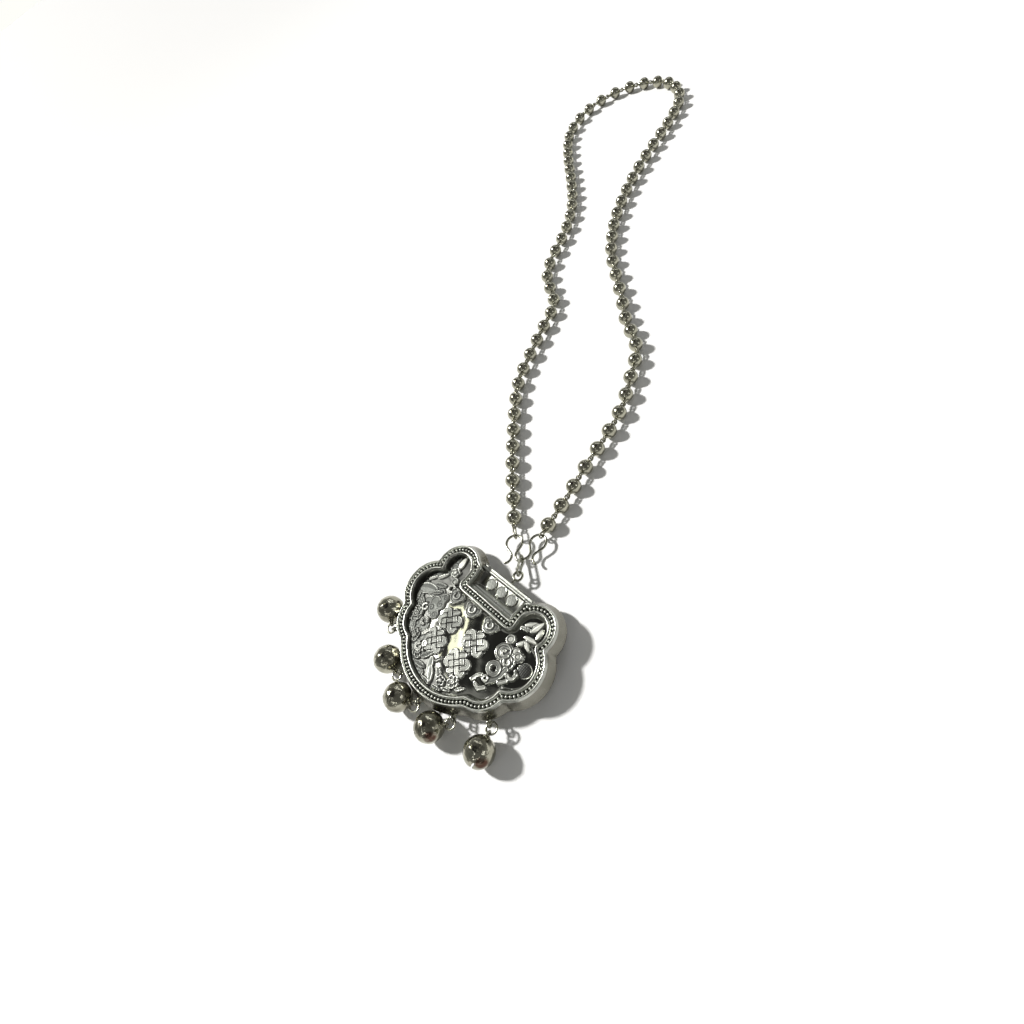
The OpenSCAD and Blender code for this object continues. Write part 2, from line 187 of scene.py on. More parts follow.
# Node helpers
def map_range(tree, value, *limits, kind="LINEAR"):
    """Takes a value from one range to another; limits are the ends of the first and of the second."""
    node = tree.nodes.new("ShaderNodeMapRange")
    node.interpolation_type = kind
    for name, limit in zip(("From Min", "From Max", "To Min", "To Max"), limits):
        node.inputs[name].default_value = limit
    tree.links.new(value, node.inputs["Value"])
    return node.outputs["Result"]


def combine(tree, operation, a, b):
    node = tree.nodes.new("ShaderNodeMath")
    node.operation = operation
    node.use_clamp = True
    tree.links.new(a, node.inputs[0])
    tree.links.new(b, node.inputs[1])
    return node.outputs["Value"]


def blend(tree, kind, factor, a, b):
    """Mixes two colours (RGBA) or numbers (FLOAT), each a value or a socket."""
    node = tree.nodes.new("ShaderNodeMix")
    node.data_type = kind
    wanted = {"RGBA": "RGBA", "FLOAT": "VALUE"}[kind]
    ends = [x for x in node.inputs if x.name in ("A", "B") and x.type == wanted]
    for socket, value in zip(ends, (a, b)):
        if isinstance(value, (tuple, float)):
            socket.default_value = (*value, 1) if kind == "RGBA" else value
        else:
            tree.links.new(value, socket)
    tree.links.new(factor, node.inputs["Factor"])
    return [x for x in node.outputs if x.type == wanted][0]


# Materials: noise scales are in waves per metre
CLOUDS = 420.0
FROST = 5200.0
PATCHES = 900.0
HAMMER_DEPTH = 0.16


def silver(name, light, dark, rough, patina, scale=1.0, bump=0.12, grain=2600.0, hollow=False,
           satin=None, painted_reflection_and_shade=None):
    """Silver with cloudy gloss, fine hammering and a thin patina, with painted shade where the mesh marks it.

    satin is (colour, roughness) of the frosted faces, and the last argument is the dark brown of a painted
    reflection and painted shade. The mesh's attributes say where they are: satin for the roughness, then the
    frosted colour with its painted highlights, then the painted reflection and shade, and then painted shade
    alone.
    """
    mat = bpy.data.materials.new(name)
    mat.use_nodes = True
    tree = mat.node_tree
    links = tree.links
    shader = tree.nodes["Principled BSDF"]
    shader.inputs["Metallic"].default_value = 1.0
    place = tree.nodes.new("ShaderNodeTexCoord")

    def noise(per_metre, detail):
        node = tree.nodes.new("ShaderNodeTexNoise")
        node.inputs["Scale"].default_value = per_metre * scale
        node.inputs["Detail"].default_value = detail
        links.new(place.outputs["Object"], node.inputs["Vector"])
        return node.outputs["Fac"]

    def mark(attribute):
        node = tree.nodes.new("ShaderNodeAttribute")
        node.attribute_name = attribute
        return node.outputs["Fac"]

    cloud = noise(CLOUDS, 5.0)
    amount = map_range(tree, cloud, 0.35, 0.75, 0.0, patina)
    gloss = map_range(tree, cloud, 0.3, 0.7, rough[0], rough[1])
    base = light
    # frosted faces take the dark grey satin colour; the edges left light are painted highlight
    if satin:
        base = blend(tree, "RGBA", mark("frost_and_painted_highlight"), light, satin[0])
        frost = map_range(tree, noise(FROST, 2.0), 0.3, 0.7, satin[1] - 0.08, satin[1] + 0.08)
        gloss = blend(tree, "FLOAT", mark("satin"), gloss, frost)
    # painted shade: the colour darkens where the mesh marks shade
    if hollow:
        amount = combine(tree, "ADD", amount, mark("hollow"))
    colour = blend(tree, "RGBA", amount, base, dark)
    # a dark brown painted reflection and painted shade, where the mesh marks them
    if painted_reflection_and_shade:
        patchy = map_range(tree, noise(PATCHES, 4.0), 0.35, 0.55, 0.6, 1.0)
        colour = blend(tree, "RGBA", combine(tree, "MULTIPLY", mark("painted_reflection_and_shade"), patchy), colour, painted_reflection_and_shade)
    links.new(colour, shader.inputs["Base Color"])
    links.new(gloss, shader.inputs["Roughness"])
    dent = tree.nodes.new("ShaderNodeBump")
    dent.inputs["Distance"].default_value = bump * HAMMER_DEPTH / grain
    links.new(noise(grain, 3.0), dent.inputs["Height"])
    links.new(dent.outputs["Normal"], shader.inputs["Normal"])
    return mat


LOCK_SILVER = silver("lock_silver", (0.46, 0.47, 0.43), (0.04, 0.04, 0.035), (0.24, 0.36), 0.25, hollow=True)
# the side of the case: the same silver painted darker, as painted shade
SHADED_SIDE_SILVER = silver("shaded_side_silver", (0.22, 0.215, 0.185), (0.13, 0.125, 0.10), (0.22, 0.34), 0.4, scale=0.6)
RELIEF_SILVER = silver("relief_silver", (0.84, 0.85, 0.78), (0.03, 0.03, 0.03), (0.05, 0.09), 0.1, bump=0.1,
                       hollow=True, satin=((0.115, 0.12, 0.11), 0.58))
BEAD_SILVER = silver("bead_silver", (0.60, 0.61, 0.56), (0.34, 0.35, 0.31), (0.34, 0.44), 0.5)
# the bells carry a dark brown painted reflection, and painted shade inside
BELL_SILVER = silver("bell_silver", (0.44, 0.43, 0.35), (0.10, 0.09, 0.06), (0.10, 0.20), 0.9, scale=0.7,
                     bump=1.0, grain=1200.0, painted_reflection_and_shade=(0.07, 0.032, 0.022))
CHAIN_SILVER = silver("chain_silver", (0.42, 0.41, 0.33), (0.14, 0.14, 0.10), (0.12, 0.24), 0.5, scale=1.3)
WIRE_SILVER = silver("wire_silver", (0.43, 0.43, 0.36), (0.13, 0.13, 0.09), (0.12, 0.22), 0.6, scale=1.2)


# Outline of the lock: circles as centre x, centre y and radius, and a round-cornered notch
LOBES = [(0.0, 0.5, 13.45), (10.3, -3.6, 4.65), (-10.3, -3.6, 4.65), (13.7, 2.1, 5.05), (-13.7, 2.1, 5.05)]
HORNS = [(12.3, 9.7, 3.25), (-12.3, 9.7, 3.25)]
NOTCH_HALF = 9.25
NOTCH_Y = 6.15
NOTCH_ROUND = 2.2
NOTCH_BLEND = 0.3
BLEND = 0.55


def smooth_min(a, b, k):
    h = np.maximum(k - np.abs(a - b), 0) / k
    return np.minimum(a, b) - h * h * k * 0.25


def outside(x, y):
    """Distance outside the band's inner line: negative over the panel."""
    d = None
    for cx, cy, r in LOBES:
        e = np.hypot(x - cx, y - cy) - r
        d = e if d is None else smooth_min(d, e, BLEND)
    qx = np.abs(x) - (NOTCH_HALF - NOTCH_ROUND)
    qy = (NOTCH_Y + NOTCH_ROUND) - y
    notch = np.minimum(np.maximum(qx, qy), 0) + np.hypot(np.maximum(qx, 0), np.maximum(qy, 0)) - NOTCH_ROUND
    d = -smooth_min(-d, notch, NOTCH_BLEND)
    for cx, cy, r in HORNS:
        d = smooth_min(d, np.hypot(x - cx, y - cy) - r, BLEND)
    return d


def slope(x, y, e=1e-3):
    return ((outside(x + e, y) - outside(x - e, y)) / (2 * e),
            (outside(x, y + e) - outside(x, y - e)) / (2 * e))


def settle(points, d):
    """Moves points along the slope until they lie d outside the inner line."""
    p = np.array(points, float)
    for _ in range(5):
        sx, sy = slope(p[:, 0], p[:, 1])
        steep = sx * sx + sy * sy + 1e-9
        off = np.clip(d - outside(p[:, 0], p[:, 1]), -0.3, 0.3)
        p[:, 0] += off * sx / steep
        p[:, 1] += off * sy / steep
    return p


def trace(d, step=0.13):
    """Walks once round the lock from its foot, d outside the inner line."""
    p = np.array([0.0, -13.0 - d])
    out = []
    for i in range(3000):
        for _ in range(3):
            sx, sy = slope(p[0], p[1])
            p = p + (d - outside(p[0], p[1])) * np.array([sx, sy]) / (sx * sx + sy * sy + 1e-9)
        out.append(p.copy())
        if i > 50 and np.hypot(*(p - out[0])) < step * 0.9:
            break
        sx, sy = slope(p[0], p[1])
        p = p + np.array([-sy, sx]) / math.hypot(sx, sy) * step
    return np.array(out)


BASE_D = 1.2
BASE_LINE = trace(BASE_D)
# Section of the case, from the panel's edge over the band and down the side: distance outside, height
PROFILE = [
    (-0.20, 3.2), (-0.10, 4.1), (-0.05, 4.7), (0.0, 5.15), (0.10, 5.45), (0.25, 5.66), (0.42, 5.74),
    (0.60, 5.70), (0.76, 5.56), (0.86, 5.36), (0.93, 5.16), (1.05, 5.06), (1.30, 5.04), (1.52, 5.06),
    (1.64, 5.16), (1.72, 5.42), (1.80, 5.70), (1.92, 5.84), (2.06, 5.84), (2.18, 5.70), (2.26, 5.40),
    (2.36, 5.0), (2.55, 4.5), (2.80, 4.0), (3.08, 3.5), (3.28, 3.16), (3.38, 3.02), (3.44, 2.92),
    (3.44, 2.74), (3.36, 2.64), (3.22, 2.50), (2.96, 1.9), (2.66, 1.2), (2.36, 0.5), (2.24, 0.22),
    (2.10, 0.05), (1.90, 0.0), (0.60, 0.0), (0.30, 0.03), (0.16, 0.14), (0.05, 0.36), (0.0, 0.5),
    (-0.2, 0.52),
]
LONGEST_MOVE = 0.12


def contour_levels():
    """The outline at each distance of the profile, every one with the same number of points."""
    levels = {}
    wanted = sorted({d for d, _ in PROFILE})
    for run in ([d for d in wanted if d >= BASE_D], [d for d in reversed(wanted) if d < BASE_D]):
        points = BASE_LINE
        here = BASE_D
        for d in run:
            while abs(d - here) > 1e-6:
                here += max(-LONGEST_MOVE, min(LONGEST_MOVE, d - here))
                points = settle(points, here)
            levels[d] = points
    return levels


LEVELS = contour_levels()


def case_shade(d, z):
    """How dark the case is painted at a point of its section, as painted shade: most in the channel of the
    beads.
    """
    if z > 4.9 and 0.86 < d < 1.70:
        return 0.85
    if z > 4.9 and d < 0.6:
        return 0.35
    if 3.0 < z < 4.9 and d < 0.0:
        return 0.15
    return 0.0


def lock_case():
    n = len(BASE_LINE)
    verts = np.vstack([np.column_stack([LEVELS[d], np.full(n, z)]) for d, z in PROFILE])
    obj = make_object("lock_case", verts, bands(len(PROFILE), n), LOCK_SILVER)
    add_mark(obj, "hollow", np.repeat([case_shade(d, z) for d, z in PROFILE], n))
    # below the band the side takes the darker silver, as painted shade
    obj.data.materials.append(SHADED_SIDE_SILVER)
    side = [int(d > 2.3 or z < 2.6) for d, z in PROFILE[:-1]]
    obj.data.polygons.foreach_set("material_index", np.repeat(side, n).astype(np.int32))
    return obj


case = lock_case()
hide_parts("lock_body")

BEAD_R = 0.31
BEAD_STEP = 0.87
BEAD_D = 1.30
BEAD_Z = 5.23


def along(points, spacing):
    """Evenly spaced places on a closed line."""
    p = np.vstack([points, points[:1]])
    s = np.r_[0, np.cumsum(np.hypot(*np.diff(p, axis=0).T))]
    count = int(round(s[-1] / spacing))
    q = np.arange(count) * s[-1] / count
    return np.column_stack([np.interp(q, s, p[:, 0]), np.interp(q, s, p[:, 1])])


def beading():
    build = Builder()
    for spot in along(settle(BASE_LINE, BEAD_D), BEAD_STEP):
        build.add(*ball(flat(spot, BEAD_Z), BEAD_R, UP, rings=10, sides=14))
    return build.done("lock_beading", BEAD_SILVER)


beads = beading()


# Raised ornament
GRID = 0.1
PANEL_DIP = 1.5
PANEL_RISE = 1.45
DOME_R = (17.0 ** 2 + PANEL_RISE ** 2) / (2 * PANEL_RISE)
DOME_Z = LOCK_T - PANEL_DIP + PANEL_RISE - DOME_R
GRID_X = np.arange(-19.2, 19.2 + GRID, GRID)
GRID_Y = np.arange(-13.6, 13.6 + GRID, GRID)
GX, GY = np.meshgrid(GRID_X, GRID_Y)


def dome(x, y):
    return DOME_Z + np.sqrt(DOME_R ** 2 - x * x - y * y)


def ease(t):
    t = np.clip(t, 0, 1)
    return t * t * (3 - 2 * t)


def ridge(x, at, width):
    """1 at a place, falling off to both sides."""
    return np.exp(-((x - at) / width) ** 2)


# A depth inside a shape that stands for far outside it
FAR_OUT = -9.0


def line_distance(points, x, y):
    """Distance from each place to the nearest point of a line."""
    best = np.full(x.shape, 1e9)
    for (ax, ay), (bx, by) in zip(points[:-1], points[1:]):
        dx, dy = bx - ax, by - ay
        t = np.clip(((x - ax) * dx + (y - ay) * dy) / (dx * dx + dy * dy + 1e-12), 0, 1)
        best = np.minimum(best, np.hypot(x - ax - t * dx, y - ay - t * dy))
    return best


class Relief:
    """Height of the ornament over the dome, built up shape by shape, with the marks for its silver."""

    def __init__(self, x, y):
        self.x = x
        self.y = y
        self.h = np.zeros(x.shape)
        self.frost_and_painted_highlight = np.zeros(x.shape)
        # the ground is rough on the left, where the shapes lie close together, and is painted dark there, as
        # painted shade among them
        left = np.maximum(ease((-x - 6.5) / 2.5), ease((-0.4 * x - y - 7.0) / 2.0))
        self.satin = 0.9 * left
        self.cut = 0.85 * left
        # edges are polished on the right and rougher on the left, where they are also painted darker, as
        # painted shade
        self.wear_and_shade = ease((4 - x) / 12)

    def window(self, cx, cy, r):
        """The part of the grid that lies round a place."""
        rows = slice(*np.searchsorted(GRID_Y, (cy - r, cy + r)))
        return rows, slice(*np.searchsorted(GRID_X, (cx - r, cx + r)))

    def near(self, cx, cy, r):
        """That part, and how far its points lie from the place along x and y."""
        win = self.window(cx, cy, r)
        return win, self.x[win] - cx, self.y[win] - cy

    def lay(self, win, height, cover, face, tone=1.0, cut=0.0):
        """Lays a shape over what is there: cover 1 hides it, 0 leaves it.

        face is 1 on its frosted face and 0 on its edges, which are painted bright as painted highlight; tone
        is how dark the face is painted, and a low tone paints it light as painted highlight; the last value
        is 1 in its lines of painted shade.
        """
        wear_and_shade = self.wear_and_shade[win]
        satin = 0.55 + 0.3 * wear_and_shade + (0.45 - 0.3 * wear_and_shade) * face
        frost_and_painted_highlight = tone * (0.45 + 0.35 * wear_and_shade + (0.55 - 0.35 * wear_and_shade) * face)
        for field, value in ((self.h, height), (self.satin, satin), (self.frost_and_painted_highlight, frost_and_painted_highlight), (self.cut, cut)):
            field[win] = field[win] * (1 - cover) + value * cover

    def outline(self, win, side):
        """A line of painted shade just outside a shape's edge; side is the depth inside that edge."""
        self.cut[win] = np.maximum(self.cut[win], 0.8 * ridge(side, -0.12, 0.12))

    def bordered(self, win, side, height, rim=0.24, edge=0.12, tone=1.0):
        """A flat frosted shape with a raised border painted bright, as painted highlight, and a sunk line
        inside it painted dark, as painted shade.
        """
        self.outline(win, side)
        cover = ease((side + edge / 2) / edge)
        border = ridge(side, 0.5 * rim, 0.45 * rim)
        line = ridge(side, 1.3 * rim, 0.25 * rim)
        h = height + 0.12 * border - 0.06 * line
        self.lay(win, h, cover, ease((side - rim) / 0.08), tone, 0.7 * line)

    def plaque(self, circles, height, tone=1.0, rim=0.22):
        """A flat shape with a lobed outline: circles given by centre and radius, joined."""
        side = np.max([r - np.hypot(self.x - cx, self.y - cy) for cx, cy, r in circles], 0)
        self.bordered((slice(None), slice(None)), side, height, rim, tone=tone)

    def ribbon(self, points, half, height=0.5, rim=0.22, tone=0.7):
        """A flat frosted ribbon with bright borders along a line."""
        points = np.asarray(points, float)
        c = points.mean(0)
        r = np.hypot(*(points - c).T).max() + half + 0.4
        win = self.window(c[0], c[1], r)
        self.bordered(win, half - line_distance(points, self.x[win], self.y[win]), height, rim, tone=tone)

    def scroll(self, cx, cy, r, start, turns=1.3, hand=1):
        """A spiral line sunk into a face and painted dark, as painted shade."""
        t = np.linspace(0, 1, 30)
        a = np.radians(start) + hand * t * turns * 2 * math.pi
        q = r * (1 - 0.75 * t)
        win = self.window(cx, cy, r + 0.5)
        path = np.column_stack([cx + q * np.cos(a), cy + q * np.sin(a)])
        line = ridge(line_distance(path, self.x[win], self.y[win]), 0, 0.11)
        self.h[win] -= 0.08 * line
        self.cut[win] = np.maximum(self.cut[win], 0.75 * line)

    def arc(self, cx, cy, r, start, sweep, half, height=0.55, rim=0.2, tone=0.8):
        """A ribbon bent round a centre."""
        a = np.radians(start + np.linspace(0, sweep, max(4, int(abs(sweep) / 12))))
        self.ribbon(np.column_stack([cx + r * np.cos(a), cy + r * np.sin(a)]), half, height, rim, tone)

    def petal(self, cx, cy, r, height, dish=0.20, squash=1.0, turn=0.0, rings=1, tone=0.8):
        """A round petal: raised rim, dished middle, and thin rings inside it."""
        win, dx, dy = self.near(cx, cy, r * max(1, squash) + 0.3)
        c, s = polar(turn, 1)
        d = np.hypot((dx * c + dy * s) / squash, -dx * s + dy * c)
        side = r - d
        self.outline(win, side)
        cover = ease((side + 0.05) / 0.10)
        rim = ridge(side, 0.15, 0.13)
        h = height * (1 - dish * np.clip(1 - (d / r) ** 2, 0, 1)) + 0.15 * rim
        lines = np.zeros(d.shape)
        for i in range(rings):
            lines += ridge(side, 0.42 + 0.38 * i, 0.08)
        # the rings are painted dark, as painted shade, and the rim is painted light, as painted highlight
        self.lay(win, h - 0.08 * lines, cover, ease((side - 0.26) / 0.08), tone, 0.75 * lines)

    def flower(self, cx, cy, r, count, height=0.5, turn=0.0, tone=1.0):
        """A ring of petals round a double middle."""
        for k in range(count):
            p = polar(turn + k * 360 / count, 0.52 * r)
            self.petal(cx + p[0], cy + p[1], 0.54 * r, height, tone=tone)
        for part, lift in ((0.42, 0.12), (0.16, 0.2)):
            self.petal(cx, cy, part * r, height + lift, rings=0, tone=tone)

    def seeds(self, cx, cy, r, height=0.3, step=0.8):
        """A round seed head, crossed by fine cuts."""
        win, dx, dy = self.near(cx, cy, r + 0.3)
        d = np.hypot(dx, dy)
        cuts = np.cos(2 * math.pi * (dx + dy) / step) * np.cos(2 * math.pi * (dx - dy) / step)
        h = height * np.sqrt(np.clip(1.1 - (d / r) ** 2, 0.05, 1)) + 0.05 * cuts
        # the head is painted dark, darkest in its grooves, as painted shade
        self.lay(win, h, ease((r - d) / 0.1), 0.6, 1.0, 0.75 - 0.2 * cuts)

    def leaf(self, cx, cy, long, wide, angle, veins=3, tone=1.0, height=0.5, bend=0.0, shade=0.0):
        """A pointed leaf with a raised rim and, with veins, a midrib and side veins."""
        c, s = polar(angle, 1)
        win, dx, dy = self.near(cx, cy, long / 2 + abs(bend) + 0.4)
        u = (dx * c + dy * s) / (long / 2)
        v = -dx * s + dy * c - bend * (1 - u * u)
        half = wide / 2 * np.sqrt(np.clip(1 - u * u, 0, 1)) * (1 - 0.15 * u)
        side = half - np.abs(v)
        self.outline(win, np.where(np.abs(u) < 1.05, side, FAR_OUT))
        cover = ease((side + 0.04) / 0.12) * (np.abs(u) < 1)
        rim = ridge(side, 0.12, 0.10)
        h = height * (0.70 + 0.30 * np.clip(side / (wide / 2), 0, 1)) + 0.12 * rim
        # the middle, the midrib and the grooves between the veins are painted dark, as painted shade
        cut = shade * ease((side - 0.2) / 0.2)
        if veins:
            phase = (u * long / 2 + np.abs(v) * 0.8) * veins
            ribs = np.cos(phase * 2 * math.pi / 1.6)
            midrib = ridge(v, 0, 0.08)
            h += 0.05 * ribs - 0.10 * midrib
            cut = cut + 0.7 * midrib + 0.2 * np.clip(-ribs, 0, 1)
        self.lay(win, h, cover, ease((side - 0.2) / 0.1), tone, cut)

    def leaves(self, rows):
        """A leaf for each row: centre, length, width, angle, and then veins and tone where they differ."""
        for row in rows:
            self.leaf(*row)

    def knot(self, cx, cy, size, straps, height=0.5, tone=1.0):
        """An endless knot: flat straps at 45 degrees that go over and under, tied by round loops."""
        gap = size / straps
        half = 0.40 * gap
        reach = size / 2
        win, dx, dy = self.near(cx, cy, size * 0.72 + gap + 0.4)
        c = math.sqrt(0.5)
        u = c * (dx + dy)
        v = c * (dy - dx)
        # a low plate under the straps, painted dark between them as painted shade
        plate = 0.35 - (np.maximum(np.abs(u), np.abs(v)) - reach)
        self.lay(win, 0.2, ease(plate / 0.12), 1.0, 1.0, 0.55)
        sides, index = [], []
        for a, b in ((u, v), (v, u)):
            i = np.clip(np.round((b + reach) / gap - 0.5), 0, straps - 1)
            off = (i + 0.5) * gap - reach
            side = half - np.hypot(np.maximum(np.abs(a) - reach, 0), b - off)
            for end in (-1, 1):
                first = 0 if end > 0 else 1
                for k in range(first, straps - 1, 2):
                    ring = np.hypot(a - end * reach, b - ((k + 1) * gap - reach))
                    loop = np.where(end * a > reach - 0.02, half - np.abs(ring - gap / 2), FAR_OUT)
                    side = np.maximum(side, loop)
            sides.append(side)
            index.append(i)
        over = (index[0] + index[1]) % 2 == 0
        both = (sides[0] > -0.12) & (sides[1] > -0.12)
        first = np.where(both & ~over, FAR_OUT, sides[0])
        second = np.where(both & over, FAR_OUT, sides[1])
        self.bordered(win, np.maximum(first, second), height, rim=0.17, edge=0.09, tone=tone)


def ornament():
    """All motifs, each laid over the ones before it."""
    art = Relief(GX, GY)
    # four endless knots in the middle; the right two are painted lighter, as painted highlight
    for cx, cy, tone in ((-4.2, 0, 0.95), (4.2, 0, 0.78), (-4, -5.3, 0.95), (4, -5.3, 0.8)):
        art.knot(cx, cy, size=3.9, straps=3, tone=tone)
    # plates under the leaves on the left, and a cloud plaque with small curls
    for plate in (
        [(-17.6, 2.4, 1.3), (-17.2, 4.6, 1.2), (-16.2, 6.2, 1.1)],
        [(-17.4, -0.2, 1.2), (-16.6, -1.9, 1.1), (-15.9, -0.6, 1.0)],
        [(-14.9, -4.4, 1.2), (-13.9, -6.3, 1.3), (-12.2, -6.4, 1.0)],
        [(-12.0, -8.2, 1.3), (-10.2, -9.2, 1.2)],
        [(-8.2, -10.0, 1.3), (-6.4, -11.0, 1.2), (-7.4, -8.6, 1.0)],
        [(-4.4, -12.0, 1.2), (-2.2, -12.4, 1.1)],
        [(-14.4, 7.6, 1.1), (-13.6, 9.6, 1.2), (-14.4, 11.0, 1.0)],
    ):
        art.plaque(plate, 0.3)
        art.scroll(*plate[0], 90 * len(plate))
        art.scroll(*plate[1], 200, hand=-1)
    art.plaque([(-12.4, -0.6, 1.7), (-13.6, 2.4, 1.6), (-11.6, 2.6, 1.5), (-14.6, -2.0, 1.4)], 0.25)
    art.plaque([(-11.2, -5.4, 1.5), (-12.6, -6.4, 1.0), (-9.0, -4.6, 1.3), (-8.0, -6.6, 1.4)], 0.25)
    art.plaque([(-10.4, -0.6, 1.5), (-9.2, 0.9, 1.3), (-8.9, -1.4, 1.2), (-11.0, 0.9, 1.2), (-9.4, 2.6, 1.1)],
               0.42)
    for cx, cy, r, start, hand in (
        (-12.5, -0.8, 1.0, 200, 1), (-13.6, 2.5, 1.0, 30, -1), (-9.2, 1.0, 0.85, 120, 1),
        (-10.6, -0.7, 0.9, 250, -1), (-8.7, -1.5, 0.75, 0, 1), (-11.2, -5.3, 1.0, 60, 1),
        (-8.0, -6.5, 0.9, 300, -1), (-14.6, -2.2, 0.9, 90, -1), (-11.4, 3.0, 0.8, 330, 1),
        (-9.2, 2.9, 0.6, 180, -1),
    ):
        art.scroll(cx, cy, r, start, hand=hand)
    # cloud heads that hang from the notch
    for cx, cy in ((-7.1, 4.7), (-1.4, 4.7), (4.45, 4.7)):
        art.plaque([(cx - 1.2, cy + 0.6, 0.95), (cx + 1.2, cy + 0.6, 0.95), (cx, cy, 1.65)], 0.47, 0.95, 0.3)
        art.arc(cx, cy + 0.2, 0.75, 160, 260, 0.2, 0.6, tone=1.0)
    # right side: a peony of nested petals; its eye and two of its petals are painted light, as painted
    # highlights
    art.plaque([(13.7, 3.9, 1.1), (12.4, 1.8, 1.65), (12.5, 4.4, 0.9), (10.6, 2.8, 2.0)], 0.3, 0.6)
    art.petal(13.6, 3.9, 0.85, 0.42, tone=0.4)
    art.petal(12.3, 1.8, 1.3, 0.46, tone=0.4)
    art.petal(10.6, 2.8, 1.65, 0.50, dish=0.1, rings=1, tone=0.8)
    art.arc(11.1, 2.9, 0.85, 100, 250, 0.28, 0.66, tone=0.6)
    art.petal(10.8, 3.1, 0.36, 0.7, rings=0, tone=0.0)
    art.arc(12.5, 1.7, 0.65, 190, 220, 0.22, 0.6, tone=0.6)
    # a bud over it, white leaves and the leaves of the horn, their white painted in as painted highlight
    art.petal(10.0, 5.6, 1.0, 0.48, squash=1.05, turn=45, tone=0.7)
    art.leaves([
        (12.3, 6.4, 2.4, 1.0, 60, 0, 0.0), (13.6, 6.6, 2.4, 1.0, -35, 0, 0.0),
        (13.3, 8.0, 3.0, 1.1, 10, 0, 0.0), (11.0, 9.2, 2.6, 1.0, 20, 3, 0.4),
        (11.3, 10.6, 3.0, 1.1, 45, 0, 0.0), (12.6, 10.8, 3.4, 1.3, 75, 0, 0.0),
        (13.9, 10.0, 2.6, 0.9, 100, 0, 0.1),
    ])
    # the ring scroll, its long tail with a curl, a hook, a bar and a seed head
    art.ribbon([(13.3, 0.4), (13.2, -1.0), (12.7, -2.5), (11.8, -3.7)], 0.6, 0.46, tone=0.9)
    art.arc(11.1, -3.5, 0.55, 0, 340, 0.26, 0.55, tone=0.8)
    art.arc(11.2, -1.0, 1.15, 0, 360, 0.5, 0.58, tone=0.9)
    art.ribbon([(14.2, -0.2), (14.9, -0.6), (15.6, 0.0), (15.7, 1.0), (15.2, 1.5)], 0.42, 0.52, tone=0.6)
    art.ribbon([(13.8, -2.4), (14.8, -1.2)], 0.42, 0.45, tone=0.6)
    art.seeds(16.3, 2.7, 1.5)
    # hooked stems below
    art.ribbon([(12.1, -5.0), (11.2, -6.0), (10.0, -5.6)], 0.42, 0.5, tone=0.7)
    art.ribbon([(9.9, -3.6), (9.3, -4.2), (8.9, -5.4)], 0.42, 0.55, tone=0.7)
    # lower band: low flower, scrolls and long leaves
    art.flower(5.9, -8.6, 1.35, 5, 0.42, 10, 0.8)
    art.flower(-5.6, -9.4, 1.5, 5, 0.42, 15)
    art.petal(-5.6, -7.3, 0.7, 0.42, rings=0, tone=0.25)
    art.leaves([
        (-3.2, -8.4, 3.4, 1.4, 55), (-1.0, -9.6, 3.8, 1.5, -65, 0), (0.4, -10.8, 3.6, 1.4, -50, 0),
        (2.2, -9.6, 3.2, 1.3, -40, 3, 0.9), (-3.2, -11.0, 3.0, 1.3, 10),
    ])
    art.flower(3.4, -10.2, 1.1, 5, 0.42, 50, 0.9)
    art.leaves([(0.4, -12.4, 3.0, 1.0, 0), (3.6, -11.9, 2.8, 0.9, 14), (5.6, -10.7, 2.4, 0.9, 22)])
    # left side: a smooth peach leaf, veined leaves, and flowers with stems
    art.leaf(-12.8, 4.3, 3.6, 1.3, 20)
    art.leaf(-15.4, 1.6, 6.2, 2.8, 22, veins=0, height=0.45, bend=0.2, shade=0.25)
    art.leaves([
        (-16.3, -1.0, 3.0, 1.0, -70), (-14.2, -0.9, 2.6, 1.0, -20), (-12.2, 2.6, 2.8, 1.1, 35),
        (-14.4, 6.1, 3.0, 1.1, 55, 3, 0.6), (-16.4, 4.4, 2.6, 0.9, 50, 3, 0.6),
    ])
    art.arc(-9.6, 5.2, 0.8, 40, 280, 0.26, 0.5)
    art.petal(-10.4, 6.9, 0.9, 0.42)
    art.arc(-12.2, -1.6, 0.7, 90, 290, 0.24, 0.5)
    # a leaf in the left horn painted white, as painted highlight
    art.leaf(-12.6, 11.2, 3.4, 1.4, 105, veins=0, tone=0.0)
    art.flower(-12.2, 8.5, 1.2, 5, 0.42, 30, 0.4)
    art.flower(-13.1, -4.1, 1.9, 6, 0.46, 0)
    art.petal(-15.4, -3.2, 0.8, 0.4, tone=1.0)
    art.flower(-9.4, -7.6, 1.5, 5, 0.42, 40)
    art.arc(-9.6, -3.9, 0.8, 20, 280, 0.3, 0.5)
    art.leaf(-11.4, -6.4, 3.0, 1.1, -50)
    art.leaf(-7.3, -5.2, 2.4, 0.9, 70, tone=0.3)
    art.arc(-6.5, -8.7, 0.7, 100, 280, 0.28, 0.5)
    art.leaf(-0.1, -7.4, 2.2, 0.9, 60)
    art.leaf(8.2, -8.6, 2.4, 0.9, 50, tone=0.5)
    return art


# Slow waves of the pressed sheet: depth, run along x and y in radians per mm, and start
RIPPLES = [(0.055, 0.85, 0.6, 0.4), (0.045, 0.65, -1.0, 1.9), (0.010, 2.1, 1.6, 0.0), (0.008, -1.2, 2.6, 0.8)]


